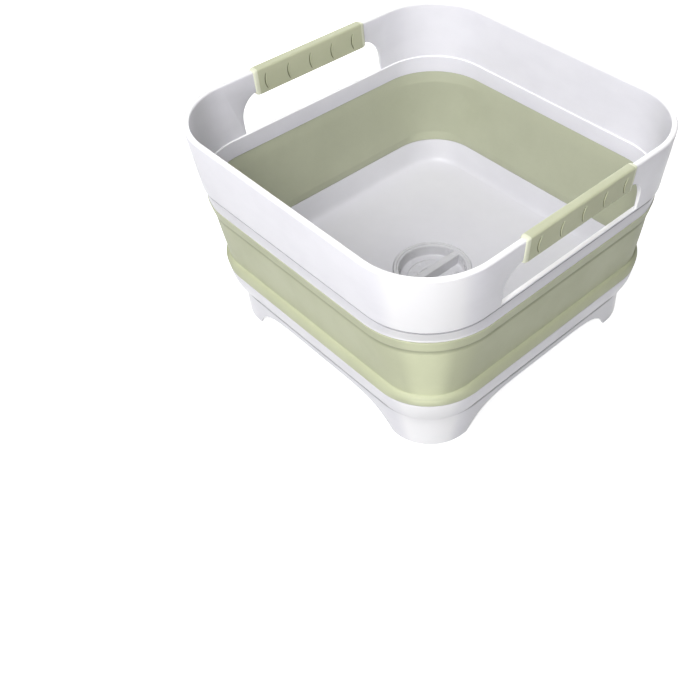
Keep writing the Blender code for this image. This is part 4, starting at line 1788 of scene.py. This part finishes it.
    def shade_grooves(self, item: bpy.types.Object, material: bpy.types.Material) -> None:
        """Gives the insides of the crescent grooves a darker rubber as painted shade.

        Args:
            item: The sleeve.
            material: The darker rubber.
        """
        item.data.materials.append(material)
        faces = self.faces()
        for polygon in item.data.polygons:
            x, y, z = polygon.center
            for face in faces:
                out = (self.side.value * x - face.x_at(z)) * face.outward
                sunk = -self.groove_depth - self.groove_skin < out < -self.groove_skin
                inner = face.foot[1] + self.face_margin < z < face.top[1] - self.face_margin
                if sunk and inner and abs(y) < self.half_length - self.end_run:
                    polygon.material_index = 1

    def build(self, finish: SoftRubber) -> bpy.types.Object:
        """Builds the grip.

        Args:
            finish: Its rubber.

        Returns:
            The grip.
        """
        ends = []
        for step in range(self.end_steps + 1):
            angle = step / self.end_steps * math.pi / 2
            ends.append((self.edge * (1 - math.sin(angle)), self.end_run * (1 - math.cos(angle))))
        loops = [self.loop(shrink, -self.half_length + run) for shrink, run in ends]
        loops += [self.loop(shrink, self.half_length - run) for shrink, run in reversed(ends)]
        shape = bmesh.new()
        skin(shape, loops, closed=False)
        item = to_object(self.side.node + "_sleeve", shape)
        self.mark_faces(item)
        dress(item, finish.make(self.side.node + "_rubber"), "frame", self.side.node)
        # Painted shade in the crescent grooves
        self.shade_grooves(item, SHADED_GROOVE_RUBBER.make(self.side.node + "_groove"))
        return item


@dataclass
class DrainSet:
    """The lift-out plug with its cross bar, and the sealing ring in the plug's groove.

    The arcs are given as (radius, start, end) with angles in degrees, like those of the dots. A mark's
    section goes from its foot to its crown as shares of its half-width and its height.
    """

    floor_z: float
    flange_radius: float = 0.0359
    flange_thickness: float = 0.0024
    proud: float = 0.0004
    wall_radius: float = 0.0330
    cup_radius: float = 0.0312
    cup_taper: float = 0.0008
    cup_round: float = 0.0014
    middle_radius: float = 0.0004
    step_radius: float = 0.0334
    step_drop: float = 0.0012
    step_flare: float = 0.0005
    step_slope: float = 0.0002
    step_ease: float = 0.0003
    inner_drop: float = 0.0032
    depth: float = 0.0140
    cup_floor: float = 0.0020
    bar_width: float = 0.0074
    bar_drop: float = 0.0014
    bar_sink: float = 0.0010
    bar_side: float = 0.0020
    bar_round: float = 0.0011
    bar_steps: int = 5
    bar_angle: float = 90.0
    gasket_radial: float = 0.0014
    gasket_height: float = 0.0036
    gasket_drop: float = 0.0034
    waist_share: float = 0.33
    lip_share: float = 0.25
    rib_radial: float = 0.0012
    rib_height: float = 0.0012
    mark_width: float = 0.0011
    mark_proud: float = 0.0009
    mark_sink: float = 0.0003
    mark_section: tuple[Point, ...] = ((0.75, 0.7), (0.3, 1.0))
    arcs: tuple[Triple, ...] = ((0.0235, 28.0, 152.0), (0.0128, 50.0, 130.0))
    arc_steps: int = 24
    head_reach: float = 0.0028
    head_run: float = 0.0034
    dot_ring: float = 0.0182
    dot_angles: tuple[float, ...] = (64.0, 90.0, 116.0)
    dot_radius: float = 0.0009
    dot_height: float = 0.45
    dot_sides: tuple[int, int] = (16, 8)

    @property
    def top(self) -> float:
        """Height of the plug's flange."""
        return self.floor_z + self.proud

    @property
    def cup_z(self) -> float:
        """Height of the cup's floor."""
        return self.top - self.depth + self.cup_floor

    @property
    def gasket_top(self) -> float:
        """Height of the sealing ring's upper face."""
        return self.top - self.flange_thickness - self.gasket_drop

    def plug_profile(self) -> list[Triple]:
        """Draws the plug's section from the middle of its cup out over the flange and back underneath.

        Returns:
            Its points as (radius, height, rounding).
        """
        wall, cup, flange, step = self.wall_radius, self.cup_radius, self.flange_radius, self.step_radius
        rib = wall + self.rib_radial
        top, foot, under = self.top, self.top - self.depth, self.top - self.flange_thickness
        step_z = top - self.step_drop
        upper = self.gasket_top + JOINT_GAP
        lower = self.gasket_top - self.gasket_height - JOINT_GAP
        return [
            (self.middle_radius, self.cup_z, SHARP), (cup - self.cup_taper, self.cup_z, self.cup_round),
            (cup, top - self.inner_drop, SOFT), (cup + self.step_flare, step_z - self.step_slope, FINE),
            (step - self.step_ease, step_z, CRISP), (step, top, EASED), (flange, top, PLUMP),
            (flange, under, CRISP), (wall, under, TIGHT), (wall, upper + self.rib_height, TIGHT),
            (rib, upper + self.rib_height, TIGHT), (rib, upper, TIGHT), (wall, upper, SHARP),
            (wall, lower, SHARP), (rib, lower, TIGHT), (rib, lower - self.rib_height, TIGHT),
            (wall, lower - self.rib_height, SHARP), (wall, foot, FULL), (self.middle_radius, foot, SHARP),
        ]

    def add_bar(self, shape: bmesh.types.BMesh) -> None:
        """Adds the cross bar, its top edges rounded.

        Args:
            shape: The plug's working mesh.
        """
        half, top, foot = self.bar_width / 2, self.top - self.bar_drop, self.cup_z - self.bar_sink
        outline = [(-half, foot), (half, foot), (half, foot + self.bar_side)]
        centre = (half - self.bar_round, top - self.bar_round)
        outline += arc(centre, self.bar_round, 0.0, 90.0, self.bar_steps)
        outline += [(-across, up) for across, up in reversed(outline[2:])]
        reach = (self.cup_radius + self.wall_radius) / 2
        loops = [[Axis.X.point(along, *place) for place in outline] for along in (-reach, reach)]
        skin(shape, loops, closed=False)

    def add_mark(self, shape: bmesh.types.BMesh, path: Sequence[Point]) -> None:
        """Adds one raised line on the cup's floor.

        Args:
            shape: The plug's working mesh.
            path: Its middle line as (x, y) points.
        """
        foot = self.cup_z - self.mark_sink
        crown = [(share, self.cup_z + up * self.mark_proud) for share, up in self.mark_section]
        section = [(-1.0, foot), (1.0, foot), *crown, *((-share, z) for share, z in reversed(crown))]
        loops = []
        for index, (x, y) in enumerate(path):
            before, after = path[max(0, index - 1)], path[min(len(path) - 1, index + 1)]
            run = Vector((after[0] - before[0], after[1] - before[1], 0.0)).normalized()
            side = Vector((-run.y, run.x, 0.0)) * self.mark_width / 2
            loops.append([Vector((x, y, z)) + side * share for share, z in section])
        skin(shape, loops, closed=False)

    def add_arrow(self, shape: bmesh.types.BMesh, radius: float, start: float, end: float) -> None:
        """Adds a curved arrow on the cup's floor.

        Args:
            shape: The plug's working mesh.
            radius: Its radius.
            start: The angle in degrees at its start.
            end: The angle in degrees at its tip.
        """
        path = arc((0.0, 0.0), radius, start, end, self.arc_steps)
        self.add_mark(shape, path)
        back = math.radians(end) - self.head_run / radius
        for reach in (-self.head_reach, self.head_reach):
            away = radius + reach
            self.add_mark(shape, [(away * math.cos(back), away * math.sin(back)), path[-1]])

    def add_dot(self, shape: bmesh.types.BMesh, angle: float) -> None:
        """Adds a flat round dot on the cup's floor.

        Args:
            shape: The plug's working mesh.
            angle: Where it stands on its ring, in degrees.
        """
        turn, (sides, layers) = math.radians(angle), self.dot_sides
        place = Vector((self.dot_ring * math.cos(turn), self.dot_ring * math.sin(turn), self.cup_z))
        dot = bmesh.ops.create_uvsphere(
            shape, u_segments=sides, v_segments=layers, radius=self.dot_radius,
            matrix=Matrix.Translation(place),
        )
        flat = (1.0, 1.0, self.dot_height)
        bmesh.ops.scale(shape, verts=dot["verts"], vec=flat, space=Matrix.Translation(-place))

    def build_plug(self, finish: WhitePlastic) -> bpy.types.Object:
        """Builds the plug, with plain arrows and dots that show the way to turn it.

        Args:
            finish: Its plastic.

        Returns:
            The plug.
        """
        shape = bmesh.new()
        lathe(shape, self.plug_profile(), closed=False)
        self.add_bar(shape)
        for turn in (0.0, 180.0):
            for radius, start, end in self.arcs:
                self.add_arrow(shape, radius, start + turn, end + turn)
            for angle in self.dot_angles:
                self.add_dot(shape, angle + turn)
        turned = Matrix.Rotation(math.radians(self.bar_angle), 3, "Z")
        bmesh.ops.rotate(shape, verts=shape.verts, cent=(0.0, 0.0, 0.0), matrix=turned)
        item = to_object("plug_cup", shape)
        return dress(item, finish.make("plug_plastic"), "plug", "drain_plug")

    def build_gasket(self, finish: SoftRubber) -> bpy.types.Object:
        """Builds the sealing ring, flat behind and with two soft lips towards the well.

        Args:
            finish: Its rubber.

        Returns:
            The ring.
        """
        inner = self.wall_radius + JOINT_GAP
        outer = inner + self.gasket_radial
        waist = outer - self.gasket_radial * self.waist_share
        top, foot = self.gasket_top, self.gasket_top - self.gasket_height
        lip = self.gasket_height * self.lip_share
        shape = bmesh.new()
        lathe(shape, [
            (inner, top, TIGHT), (waist, top, CRISP), (outer, top - lip, FINE),
            (waist, (top + foot) / 2, EASED), (outer, foot + lip, FINE), (waist, foot, CRISP),
            (inner, foot, TIGHT),
        ], closed=True)
        item = to_object("sealing_ring", shape)
        return dress(item, finish.make("gasket_rubber"), "gasket", "plug_gasket")


def dress(
    item: bpy.types.Object, material: bpy.types.Material, body: Optional[str], node: str,
) -> bpy.types.Object:
    """Gives a piece its material and its place in the frame.

    Args:
        item: The piece.
        material: Its material.
        body: The body that it rides on, or None where it rides on neither of the two.
        node: The CAD node that it stands for.

    Returns:
        The piece.
    """
    item.data.materials.clear()
    item.data.materials.append(material)
    if body:
        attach(item, body)
    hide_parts(node)
    LOG.info("%s: %d faces, stands for %s", item.name, len(item.data.polygons), node)
    return item


def main() -> None:
    """Builds the scene in order."""
    logging.basicConfig(level=logging.INFO, format="%(message)s")
    Studio().build()
    levels = Levels.read()
    upper, tray = UpperFrame(levels), TrayBase(levels)
    wall, drain = SoftWall(levels, upper, tray), DrainSet(tray.floor_z)
    # The frame's plastic with painted highlights on the rim, the level edges and the corners, and strips of
    # painted shade
    upper.build(WhitePlastic(
        highlight_above=levels.rim_z - upper.highlight_drop, edged_above=upper.foot.z - upper.edge_drop,
        corner_highlight=0.70, shade_strips=upper.shade_strips()))
    # The wall's rubber with painted highlights on its corners, painted shade inside and strips of painted
    # shade
    wall.build(SoftRubber(corner_highlight=0.28, shade_strips=wall.shade_strips()))
    # The base's darker tone is painted shade for its floor down inside the walls; its corners get a painted
    # highlight, its inside painted shade and the strip under its ledge a painted shadow
    tray.build(WhitePlastic(
        tone=(0.765, 0.758, 0.805), shade=(0.725, 0.718, 0.765), painted_highlight=(0.920, 0.915, 0.925),
        corner_highlight=0.80, inside_shade=0.945, shade_strips=tray.shade_strips()))
    grip_rubber = SoftRubber(
        tone=(0.580, 0.600, 0.415), deep=(0.538, 0.558, 0.380), bloom=(0.75, 0.765, 0.60), roughness=0.55,
        pale_from=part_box("grip_left")[1].y - Grip.pale_length)
    for side in Side:
        Grip(side, upper).build(grip_rubber)
    # The plug's darker tone is painted shade for its cup down in the well
    drain.build_plug(WhitePlastic(
        tone=(0.655, 0.651, 0.680), shade=(0.618, 0.614, 0.642), roughness=0.26, corner_highlight=0.0))
    drain.build_gasket(SoftRubber(
        tone=(0.15, 0.155, 0.15), deep=(0.12, 0.125, 0.12), bloom=(0.24, 0.24, 0.24)))


if __name__ == "__main__":
    main()
